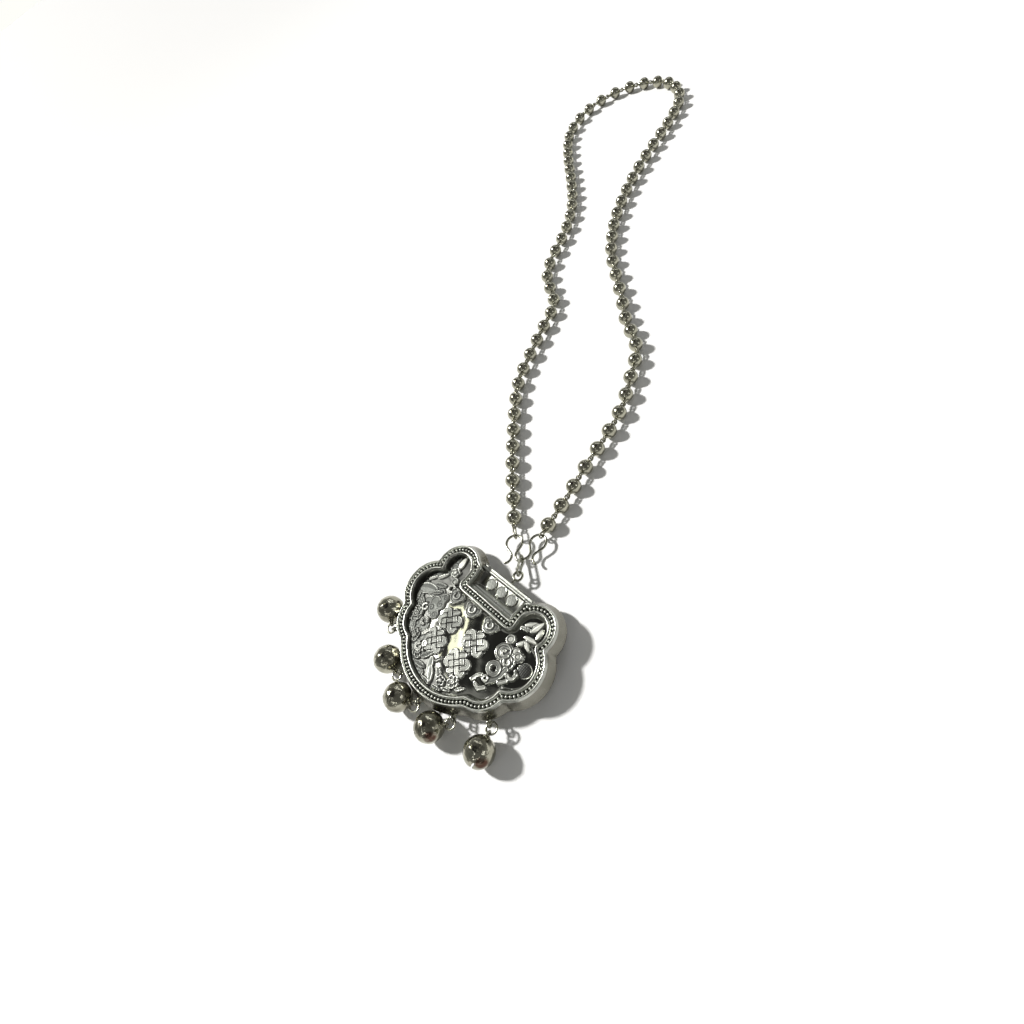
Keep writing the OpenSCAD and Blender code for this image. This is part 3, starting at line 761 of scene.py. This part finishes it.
def panel():
    """The domed panel with its ornament."""
    art = ornament()
    ripple = sum(deep * np.sin(u * GX + v * GY + start) for deep, u, v, start in RIPPLES)
    d = outside(GX, GY)
    edge = 0.10 * ease((d + 0.6) / 0.6)
    fade = ease((-d + 0.05) / 0.35)
    raised = art.h * fade
    z = dome(GX, GY) + ripple - edge + raised
    keep = d < 0.35
    verts = np.column_stack([GX[keep], GY[keep], z[keep]])
    obj = make_object("lock_panel", verts, grid_faces(keep), RELIEF_SILVER)
    # narrow cuts are painted dark, as painted shade: lower than the mean of what lies round about, close by
    soft = raised.copy()
    for _ in range(3):
        around = [np.roll(soft, by, way) for way, by in ((0, 1), (0, -1), (1, 1), (1, -1))]
        soft = 0.2 * sum(around, soft)
    low = np.clip((soft - raised) * 6.0, 0, 0.9)
    # the panel's edge at the foot of the band is painted dark too, as painted shade
    low = np.maximum(low, 0.7 * ease((d + 0.2) / 0.2))
    add_mark(obj, "hollow", np.clip(np.maximum(low, art.cut), 0, 0.95)[keep])
    add_mark(obj, "satin", (art.satin * fade)[keep])
    add_mark(obj, "frost_and_painted_highlight", (art.frost_and_painted_highlight * fade)[keep])
    return obj


face = panel()

BACK_GRID = 0.4
BACK_Z = 0.5


def back_panel():
    """The back: a plain sheet with a shallow pressed border, set inside the band."""
    x, y = np.meshgrid(np.arange(-19.2, 19.3, BACK_GRID), np.arange(-13.6, 13.7, BACK_GRID))
    d = outside(x, y)
    z = BACK_Z - 0.12 * ridge(d, -1.3, 0.3) - 0.22 * ease((-d - 1.6) / 5.0)
    keep = d < 0.25
    verts = np.column_stack([x[keep], y[keep], z[keep]])
    return make_object("lock_back", verts, grid_faces(keep, flip=True), LOCK_SILVER)


back = back_panel()


# Collar in the notch
COLLAR_HALF = 7.9
# Section from the notch over the mouldings, the tablet's floor and the bar: y, height
COLLAR = [
    (7.7, 1.9), (7.7, 4.8), (8.0, 4.95), (8.5, 4.98), (8.8, 4.95), (9.0, 4.86), (9.15, 4.72), (9.3, 4.62),
    (9.5, 4.54), (9.7, 4.4), (9.85, 4.2), (10.0, 3.98), (10.15, 3.8), (10.3, 3.68), (10.5, 3.62),
    (13.15, 3.62), (13.3, 3.7), (13.4, 3.95), (13.52, 4.1), (13.7, 4.14), (13.85, 4.1), (13.95, 4.02),
    (14.1, 4.02), (14.2, 4.1), (14.4, 4.13), (14.55, 4.08), (14.68, 3.9), (14.7, 3.7), (14.7, 2.1),
    (14.6, 1.95), (14.4, 1.9), (8.0, 1.9),
]
# Lines of painted shade along the collar: y and darkness
COLLAR_LINES = [(8.3, 0.5), (9.2, 0.5), (10.3, 0.6), (13.32, 0.6), (14.02, 0.3)]
TABLET_Y, TABLET_LIFT = 9.95, 0.75
BAR_Y, BAR_LIFT = 13.6, 0.28


def collar():
    """Mouldings step down from the notch to the tablet with its three discs; a bar ends it."""
    xs = np.linspace(-COLLAR_HALF, COLLAR_HALF, 90)
    m, n = len(xs), len(COLLAR)
    x = np.repeat(xs, n)
    y, z = np.tile(np.array(COLLAR), (m, 1)).T
    front = z > 3.5
    # the ends of the tablet and of its bar turn up into the horns
    ends = ease((np.abs(x) - 5.6) / 1.2)
    bar = front & (y >= BAR_Y)
    tablet = front & (y > TABLET_Y) & ~bar
    z = z + ends * (TABLET_LIFT * tablet + BAR_LIFT * bar)
    faces = bands(m, n, flip=True) + caps(m, n)
    obj = make_object("lock_collar", np.column_stack([x, y, z]), faces, LOCK_SILVER)
    # painted shade in the lines along the mouldings and on the tablet's sunk floor; the bar is painted a
    # little darker too
    lines = sum(dark * ridge(y, at, 0.13) for at, dark in COLLAR_LINES)
    shade = 0.65 * ((y > 10.2) & (y < 13.4)) + 0.3 * (y > BAR_Y)
    add_mark(obj, "hollow", np.clip(np.maximum(lines, shade), 0, 0.8) * (z > 3.0))
    return obj


shelf = collar()

DISC_Y = 11.75
DISC_GAP = 3.3
# Half section of a disc from its foot to near its middle: radius, height
DISC = [(1.40, 3.55), (1.40, 3.78), (1.36, 3.84), (1.28, 3.85), (1.20, 3.80), (1.14, 3.79), (1.06, 3.82),
        (0.9, 3.84), (0.7, 3.84), (0.5, 3.84), (0.3, 3.85), (0.12, 3.86)]
DISC_TOP = 3.86
DISC_CUT = 1.20


def collar_discs():
    """Three plain frosted discs in a row on the tablet, each with an edge painted bright, as painted
    highlight, and a faint rosette.
    """
    build = Builder()
    sides = 48
    a = np.linspace(0, 2 * math.pi, sides, endpoint=False)
    hollow, satin = [], []
    for cx in (-DISC_GAP, 0.0, DISC_GAP):
        verts = []
        for r, z in DISC:
            lift = 0.012 * np.cos(6 * a) if 0.25 < r < 1.0 else np.zeros(sides)
            verts.append(np.column_stack([cx + r * np.cos(a), DISC_Y + r * np.sin(a), z + lift]))
            # each disc's foot and its groove are painted dark, as painted shade
            hollow += [0.8 if z < 3.6 or r == DISC_CUT else 0.0] * sides
            satin += [1.0 if r < 1.16 else 0.0] * sides
        verts.append([(cx, DISC_Y, DISC_TOP)])
        hollow.append(0.0)
        satin.append(1.0)
        faces = bands(len(DISC), sides, flip=True)
        top = (len(DISC) - 1) * sides
        faces += [(top + i, top + (i + 1) % sides, top + sides) for i in range(sides)]
        faces.append(tuple(range(sides))[::-1])
        build.add(np.vstack(verts), faces)
    obj = build.done("collar_discs", RELIEF_SILVER)
    add_mark(obj, "hollow", hollow)
    add_mark(obj, "satin", satin)
    add_mark(obj, "frost_and_painted_highlight", 0.9 * np.array(satin))
    return obj


discs = collar_discs()


# Bail loop, bell loops and jump rings
BAIL_Y = 16.8
BAIL_R = 1.05
BAIL_WIRE = 0.56
LOOP_R = 0.8
LOOP_WIRE = 0.5
LOOP_OUT = 0.6
LOOP_Z = SEAM_Z + 0.35
RING_R = 1.15
RING_WIRE = 0.44
EYE_OUT = BELL_D / 2 + 0.45
BELL_Z = BELL_D / 2 + 0.05
# Where each bell hangs: its lobe, and the way from the lobe to the loop, on to the ring and to the bell
BELLS = []
for lobe, turn_loop, turn_ring, turn_bell in (
    (LOBES[2], -131, -155, 145), (LOBES[0], -113, -113, 170), (LOBES[0], -86, -88, -164),
    (LOBES[0], -55, -72, -132), (LOBES[1], -41, -16, -77),
):
    spot = np.array(lobe[:2]) + polar(turn_loop, lobe[2] + RIM_W + FLARE + LOOP_OUT)
    ring_at = spot + polar(turn_ring, RING_R)
    BELLS.append({"loop": spot, "loop_turn": turn_loop, "ring": ring_at,
                  "bell": ring_at + polar(turn_bell, RING_R + EYE_OUT), "turn": turn_bell})


def lock_loops():
    build = Builder()
    stem = [(0, y, SEAM_Z) for y in (14.3, 14.8, 15.3, 15.7)]
    build.add(*tube(stem, [0.42, 0.38, 0.33, 0.3], sides=16))
    build.add(*hoop((0, BAIL_Y, SEAM_Z), BAIL_R, BAIL_WIRE, (1, 0, 0), (0, 1, 0), points=44, sides=14))
    for b in BELLS:
        way = flat(polar(b["loop_turn"], 1), 0)
        build.add(*hoop(flat(b["loop"], LOOP_Z), LOOP_R, LOOP_WIRE, way, UP, points=32, sides=12))
    return build.done("lock_loops", WIRE_SILVER)


loops = lock_loops()


def bell_rings():
    for k, b in enumerate(BELLS):
        wire = hoop(flat(b["ring"], BELL_Z), RING_R, RING_WIRE, (1, 0, 0), (0, 1, 0), points=44, sides=12)
        obj = make_object("bell_ring_wire_%d" % (k + 1), *wire, WIRE_SILVER)
        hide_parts("bell_ring_%d" % (k + 1))


bell_rings()


# Bells
BELL_WALL = 0.35
BELL_RINGS, BELL_SIDES = 48, 96
BELL_EYE_R = 0.55
BELL_EYE_WIRE = 0.4
SLOT_W, SLOT_LONG, SLOT_START, SLOT_ROLL = 0.5, 5.0, 1.2, 118
# Painted reflection, dark brown, low on the side that faces right: how much each bell has, and the way that
# it faces
PAINTED_REFLECTIONS = (0.0, 0.0, 0.0, 0.95, 0.95)
REFLECTION_WAY = np.array([0.825, -0.234, 0.514])
# Low waves that dent the bells: their run along x, y and z in radians per mm, and their depth
DENTS = [(2.3, 1.1, 0.7, 0.014), (-1.7, 2.6, 1.9, 0.013), (1.2, -2.1, 3.0, 0.012), (5.3, 4.1, -3.7, 0.007),
         (-6.1, 3.3, 4.9, 0.006)]


def dents(p, phase):
    return sum(deep * np.sin(p @ np.array(run) + phase * i) for i, (*run, deep) in enumerate(DENTS, 1))


def bell_shell(radius, phase=None):
    """Points of a ball in rings round its axis, its foot last; a phase gives it a band and dents."""
    lat, lon = np.meshgrid(np.linspace(0.0, math.pi, BELL_RINGS + 1),
                           np.linspace(0, 2 * math.pi, BELL_SIDES, endpoint=False), indexing="ij")
    r = np.full(lat.shape, radius)
    if phase is not None:
        off = np.abs(radius * np.cos(lat))
        r = r + 0.05 * ease((0.34 - off) / 0.12) + 0.025 * ease((0.10 - np.abs(off - 0.9)) / 0.08)
    local = np.stack([r * np.sin(lat) * np.cos(lon), r * np.sin(lat) * np.sin(lon), r * np.cos(lat)], -1)
    if phase is not None:
        local *= 1 + dents(local, phase)[..., None] / radius
    # points close to the slot's long edges are moved onto them
    x = local[..., 0]
    near = (np.abs(np.abs(x) - SLOT_W / 2) < 0.11) & (local[..., 2] < -SLOT_START)
    near &= np.abs(local[..., 1]) < SLOT_LONG / 2 + 0.1
    x[near] = np.sign(x[near]) * SLOT_W / 2
    return local.reshape(-1, 3)


def bell_skin(phase):
    """The bell's wall, inside and out, with the slot cut through it."""
    outer = bell_shell(BELL_D / 2, phase)
    inner = bell_shell(BELL_D / 2 - BELL_WALL)
    n = BELL_SIDES
    foot = (BELL_RINGS - 1) * n
    cells = bands(BELL_RINGS - 1, n, flip=True, start=n)
    cells += [(0, n + (j + 1) % n, n + j) for j in range(n)]
    cells += [(foot + j, foot + (j + 1) % n, foot + n) for j in range(n)]
    kept, edges = [], set()
    for q in cells:
        x, y, z = outer[list(q)].mean(0)
        if abs(x) < SLOT_W / 2 and abs(y) < SLOT_LONG / 2 and z < -SLOT_START:
            edges ^= {frozenset((q[i - 1], q[i])) for i in range(len(q))}
        else:
            kept.append(q)
    shift = len(outer)
    wall = [(a, b, b + shift, a + shift) for a, b in sorted(map(tuple, map(sorted, edges)))]
    skin = [q[::-1] for q in kept] + [tuple(i + shift for i in q) for q in kept] + wall
    used = sorted({i for q in skin for i in q})
    new_index = {old: new for new, old in enumerate(used)}
    return np.vstack([outer, inner])[used], [tuple(new_index[i] for i in q) for q in skin]


def bell_mesh(name, centre, turn, painted_reflection_and_shade, phase):
    """A hollow ball with a soldered band, a sound slot cut through its wall, and a wire eye."""
    axis = flat(polar(turn + 180, 1), 0)
    c, s = polar(SLOT_ROLL, 1)
    across = s * np.cross(UP, axis) - c * UP
    build = Builder()
    points, faces = bell_skin(phase)
    build.add(points @ np.array([across, np.cross(axis, across), axis]) + centre, faces)
    # solder disc and eye
    foot = centre + axis * (BELL_D / 2 - 0.02)
    build.add(*tube([foot + axis * s for s in (-0.15, 0.0, 0.08, 0.12)], [0.72, 0.7, 0.6, 0.3], sides=24))
    build.add(*hoop(centre + axis * EYE_OUT, BELL_EYE_R, BELL_EYE_WIRE, axis, UP, points=28, sides=12))
    obj = build.done(name, BELL_SILVER)
    # the inside is painted dark all over, as painted shade; low on one side is a painted brown reflection
    way = np.vstack(build.verts) - centre
    far = np.linalg.norm(way, axis=1)
    low = painted_reflection_and_shade * ease((way @ REFLECTION_WAY / far - 0.86) / 0.1)
    add_mark(obj, "painted_reflection_and_shade", np.where(far < BELL_D / 2 - 0.2, 1.0, low))
    return obj


def bells():
    for k, b in enumerate(BELLS):
        obj = bell_mesh("bell_shell_%d" % (k + 1), flat(b["bell"], BELL_Z), b["turn"], PAINTED_REFLECTIONS[k], 1.3 * k)
        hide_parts("bell_%d" % (k + 1))


bells()


# Bail link and hooks
LINK_TURN, LINK_TILT, LINK_LIFT = 128.5, 15.7, 0.24
LINK_START, LINK_LONG, LINK_HALF, LINK_WIRE = 0.15, 5.46, 0.8, 0.54
HOOK_R, HOOK_WIRE, HEAD_TURN, LEG, FOOT_R, FOOT_TURN, FOOT_TIP = 2.0, 0.58, 125, 1.5, 1.6, 116, 0.36
HOOKS = {"left": ((-7.06, 22.39), 40.3, 2.0), "right": ((-2.32, 25.66), 14.6, 1.77)}


def long_link(origin, along_v, side_v, length, half, wire):
    """A long oval of wire that starts at origin and runs along along_v, its sides half apart on side_v."""
    bends = [(half, a) for a in np.radians(np.linspace(90, 270, 14))]
    bends += [(length - half, a) for a in np.radians(np.linspace(-90, 90, 14))]
    path = [origin + (at + half * math.cos(a)) * along_v + half * math.sin(a) * side_v for at, a in bends]
    dense = []
    for p, q in zip(path, path[1:] + path[:1]):
        steps = max(1, int(np.linalg.norm(q - p) / 0.3))
        dense += [p + (q - p) * s / steps for s in range(steps)]
    return tube(dense, wire / 2, sides=14, closed=True, up=np.cross(along_v, side_v))


def bail_link():
    way = flat(polar(LINK_TURN, 1), 0)
    c, s = polar(LINK_TILT, 1)
    origin = flat(np.array([0, BAIL_Y]) + polar(LINK_TURN, LINK_START), SEAM_Z + LINK_LIFT)
    wire = long_link(origin, c * way - s * UP, s * way + c * UP, LINK_LONG, LINK_HALF, LINK_WIRE)
    obj = make_object("bail_link_wire", *wire, WIRE_SILVER)
    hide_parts("bail_link")


bail_link()


def hook_side():
    """One side of a hook, from the top of its head down the leg and round the foot."""
    pts = [polar(90 - t, HOOK_R) for t in np.linspace(0, HEAD_TURN, 24)]
    way = -HEAD_TURN
    neck = pts[-1]
    pts += [neck + polar(way, s) for s in np.linspace(0, LEG, 6)[1:]]
    c = pts[-1] + polar(way + 90, FOOT_R)
    pts += [c + polar(way - 90 + t, FOOT_R) for t in np.linspace(0, FOOT_TURN, 20)[1:]]
    tip = pts[-1]
    pts += [tip + polar(way + FOOT_TURN, s) for s in np.linspace(0, FOOT_TIP, 4)[1:]]
    return np.array(pts)


def hooks():
    half = hook_side()
    whole = np.vstack([(half * [-1, 1])[::-1], half[1:]])
    for name, (at, turn, z) in HOOKS.items():
        c, s = polar(turn, 1)
        path = whole @ np.array([[c, s], [-s, c]]) + np.array(at)
        path = np.column_stack([path, np.full(len(path), z)])
        wire = tube(path, round_end(path, HOOK_WIRE / 2), sides=16)
        obj = make_object("hook_%s_wire" % name, *wire, WIRE_SILVER)
        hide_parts("hook_%s" % name)


hooks()


# Chain
CHAIN_Z = BALL_D / 2
EYE_R = 0.56
EYE_WIRE = 0.4
HOOK_EYE_R = 0.75
NECK_R = 0.25
WRAP_R, WRAP_WIRE, WRAP_STEP = 0.36, 0.36, 0.34
NECK_START = 1.7
END_TURN, END_RUN, END_HALF, END_GAP = 140, 2.35, 0.8, 0.22
ROUTE_STEPS = 8


def hook_top(name):
    at, turn, _ = HOOKS[name]
    return np.array(at) + polar(90 + turn, HOOK_R)


LEFT_TOP = hook_top("left")
RIGHT_TOP = hook_top("right")
# The way of the chain in stretches, each with its number of balls
STRETCHES = [
    (14, [tuple(LEFT_TOP + polar(END_TURN, END_RUN)), (-15.8, 31), (-19.6, 34.5), (-27.2, 42.4),
          (-34.8, 51), (-41.8, 60), (-45.8, 70), (-49, 78.5), (-51.7, 86.8)]),
    (4, [(-55.9, 91), (-61.3, 94), (-65.2, 98.6), (-68, 104)]),
    (38, [(-72, 115), (-79, 127), (-90, 139), (-101, 150), (-111, 163), (-113, 178), (-104, 190),
          (-89, 193), (-77, 185), (-72, 172), (-69, 157), (-65, 141), (-58, 124), (-48.5, 110)]),
    (4, [(-43.6, 105.6), (-38.6, 100.8), (-33.5, 96.3), (-29.4, 92)]),
    (13, [(-25.4, 88.2), (-21, 85.6), (-17, 81.8), (-14.4, 76.8), (-11.8, 71.4), (-9.3, 66.2),
          (-7.7, 60.6), (-6.8, 54.8), (-6.1, 49.2), (-5.2, 43.6), (-4.2, 38.4), (-3.5, 33),
          tuple(RIGHT_TOP)]),
]


def chain_joints():
    """Where the balls meet: even steps in each stretch of a smooth curve through its points."""
    route = np.array([p for _, pts in STRETCHES for p in pts], float)
    n = len(route)
    path = []
    for i in range(n - 1):
        a, b, c, d = route[max(i - 1, 0)], route[i], route[i + 1], route[min(i + 2, n - 1)]
        for t in np.arange(ROUTE_STEPS) / ROUTE_STEPS:
            path.append(0.5 * (2 * b + (c - a) * t + (2 * a - 5 * b + 4 * c - d) * t * t
                               + (3 * b - a - 3 * c + d) * t ** 3))
    path = np.array(path + [route[-1]])
    s = np.r_[0, np.cumsum(np.hypot(*np.diff(path, axis=0).T))]
    runs = [0.0]
    done = 0
    for balls, pts in STRETCHES:
        done += len(pts)
        start, end = runs[-1], s[(done - 1) * ROUTE_STEPS]
        runs += [start + (end - start) * i / balls for i in range(1, balls + 1)]
    return np.column_stack([np.interp(runs, s, path[:, 0]), np.interp(runs, s, path[:, 1])])


def chain_ball(build, a, b, last):
    """A ball between two joints, with its neck, the wire wrapped round it and an eye at each end."""
    span = np.hypot(*(b - a))
    x = flat((b - a) / span, 0)
    y = np.cross(UP, x)
    mid = flat((a + b) / 2, CHAIN_Z)
    eye = span / 2 - EYE_R / 2
    build.add(*ball(mid, BALL_D / 2, x, rings=16, sides=24))
    near = mid - x * (eye - EYE_R)
    far = mid + x * (span / 2 - HOOK_EYE_R if last else eye - EYE_R)
    build.add(*tube([near, mid - x * NECK_START, mid + x * NECK_START, far], NECK_R, sides=8))
    for side, end in ((-1, near), (1, far)):
        room = np.linalg.norm(end - mid) - BALL_D / 2
        for i in range(max(1, int(round(room / WRAP_WIRE)))):
            place = mid + x * side * (BALL_D / 2 + 0.02 + WRAP_STEP * i)
            build.add(*hoop(place, WRAP_R, WRAP_WIRE, y, UP, points=14, sides=7))
    build.add(*hoop(mid - x * eye, EYE_R, EYE_WIRE, x, y, points=20, sides=8))
    if last:
        build.add(*hoop(mid + x * span / 2, HOOK_EYE_R, EYE_WIRE, x, UP, points=24, sides=10))
    else:
        build.add(*hoop(mid + x * eye, EYE_R, EYE_WIRE, x, UP, points=20, sides=8))


def chain():
    joints = chain_joints()
    build = Builder()
    last = len(joints) - 2
    for k in range(last + 1):
        chain_ball(build, joints[k], joints[k + 1], k == last)
    # the oval link at the left hook
    inside = HOOK_WIRE / 2 + EYE_WIRE / 2 + END_GAP
    way = flat(polar(END_TURN, 1), 0)
    origin = flat(LEFT_TOP - polar(END_TURN, inside), CHAIN_Z)
    build.add(*long_link(origin, way, UP, inside + END_RUN + EYE_R / 2, END_HALF, EYE_WIRE))
    obj = build.done("ball_chain", CHAIN_SILVER)
    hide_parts("chain")


chain()


# Floor, camera and light
FLOOR_HALF = 30.0
CAM_AT = Vector((65.35, 8.55, 105.77))
CAM_RIGHT = Vector((0.66248, 0.64448, -0.38180))
CAM_DOWN = Vector((0.45092, -0.75010, -0.48376))
CAM_FORWARD = Vector((-0.59816, 0.14832, -0.78753))
SENSOR = 36.0
PHOTO_FOCAL = 550.0
PHOTO_SIZE = 1024.0
KEY_WAY = Vector((-0.70, -0.255, 0.667))
DARK_WAY = (-0.27, 0.03, 0.96)


def floor():
    mesh = bpy.data.meshes.new("floor")
    s = FLOOR_HALF
    mesh.from_pydata([(-s, -s, 0), (s, -s, 0), (s, s, 0), (-s, s, 0)], [], [(0, 1, 2, 3)])
    obj = new_object("floor", mesh)
    mat = bpy.data.materials.new("floor_white")
    mat.use_nodes = True
    shader = mat.node_tree.nodes["Principled BSDF"]
    shader.inputs["Base Color"].default_value = (0.86, 0.86, 0.86, 1)
    shader.inputs["Roughness"].default_value = 0.6
    shader.inputs["Specular IOR Level"].default_value = 0.2
    mesh.materials.append(mat)


floor()


def in_world(place):
    """A place in the lock's frame, in metres in the whole object's frame."""
    return (Vector(place) + Vector(LOCK_AT)) * MM


def stand(obj, at, x, y, z):
    """Puts an object at a place in the lock's frame, with its own axes along x, y and z."""
    obj.matrix_world = Matrix.Translation(in_world(at)) @ Matrix((x, y, z)).transposed().to_4x4()


def camera():
    data = bpy.data.cameras.new("camera")
    data.sensor_width = SENSOR
    data.sensor_fit = "HORIZONTAL"
    data.lens = SENSOR * PHOTO_FOCAL / PHOTO_SIZE
    data.clip_start = 0.005
    data.clip_end = 10.0
    obj = new_object("camera", data)
    stand(obj, CAM_AT, CAM_RIGHT, -CAM_DOWN, -CAM_FORWARD)
    bpy.context.scene.camera = obj


camera()


def area(name, at, size, power, color=(1, 1, 1)):
    """A rectangular light that faces the lock; size is in metres."""
    data = bpy.data.lights.new(name, "AREA")
    data.shape = "RECTANGLE"
    data.size, data.size_y = size
    data.energy = power
    data.color = color
    obj = new_object(name, data)
    place = in_world(at)
    turn = (in_world((0, 0, 0)) - place).to_track_quat("-Z", "Y")
    obj.matrix_world = Matrix.Translation(place) @ turn.to_matrix().to_4x4()
    return obj


def strip(name, start, end, width, power):
    """A long narrow light that runs from start to end and faces the lock."""
    start, end = Vector(start), Vector(end)
    mid = (start + end) / 2
    back = mid.normalized()
    run = (end - start) - (end - start).dot(back) * back
    obj = area(name, mid, (run.length * MM, width * MM), power)
    run.normalize()
    stand(obj, mid, run, back.cross(run), back)


def key_light():
    sun = bpy.data.lights.new("key", "SUN")
    sun.energy = 4.7
    sun.angle = math.radians(5.5)
    sun.color = (1.0, 0.99, 0.97)
    key = new_object("key", sun)
    key.matrix_world = KEY_WAY.to_track_quat("Z", "Y").to_matrix().to_4x4()


def room():
    """A grey room, lighter at the skyline and darkest overhead, where the viewer stands."""
    world = bpy.data.worlds.new("studio")
    bpy.context.scene.world = world
    world.use_nodes = True
    tree = world.node_tree
    place = tree.nodes.new("ShaderNodeTexCoord")
    split = tree.nodes.new("ShaderNodeSeparateXYZ")
    tree.links.new(place.outputs["Generated"], split.inputs["Vector"])
    towards = tree.nodes.new("ShaderNodeVectorMath")
    towards.operation = "DOT_PRODUCT"
    towards.inputs[1].default_value = DARK_WAY
    tree.links.new(place.outputs["Generated"], towards.inputs[0])
    skyline = map_range(tree, split.outputs["Z"], 0.03, 0.10, 1.0, 0.30, kind="SMOOTHSTEP")
    height = map_range(tree, split.outputs["Z"], 0.20, 0.50, 1.0, 0.55, kind="SMOOTHSTEP")
    shadow = map_range(tree, towards.outputs["Value"], 0.90, 0.975, 1.0, 0.10, kind="SMOOTHSTEP")
    strength = combine(tree, "MULTIPLY", combine(tree, "MULTIPLY", skyline, height), shadow)
    shade = tree.nodes["Background"]
    shade.inputs["Color"].default_value = (1.0, 1.0, 0.95, 1)
    tree.links.new(strength, shade.inputs["Strength"])


def studio():
    """A broad soft sun, dim soft boxes and a grey room."""
    key_light()
    # a light high on the left stands in the domed panel's own reflection
    area("panel_light", (-362, -60, 474), (0.21, 0.10), 0.075, (1.0, 1.0, 0.74))
    area("back_strip", (-250, 430, 330), (0.50, 0.04), 0.25, (0.98, 0.99, 1.0))
    area("front_strip", (300, -380, 300), (0.40, 0.04), 0.16, (1.0, 0.99, 0.95))
    area("right_box", (430, 260, 300), (0.12, 0.20), 0.16)
    # two narrow strips overhead streak the bells
    strip("near_strip", (9, -172, 471), (134, -426, 226), 14, 0.05)
    strip("far_strip", (-26, 165, 471), (94, 283, 401), 12, 0.012)
    room()
    view = bpy.context.scene.view_settings
    view.view_transform = "Standard"
    view.look = "None"
    view.exposure = 0.0


studio()
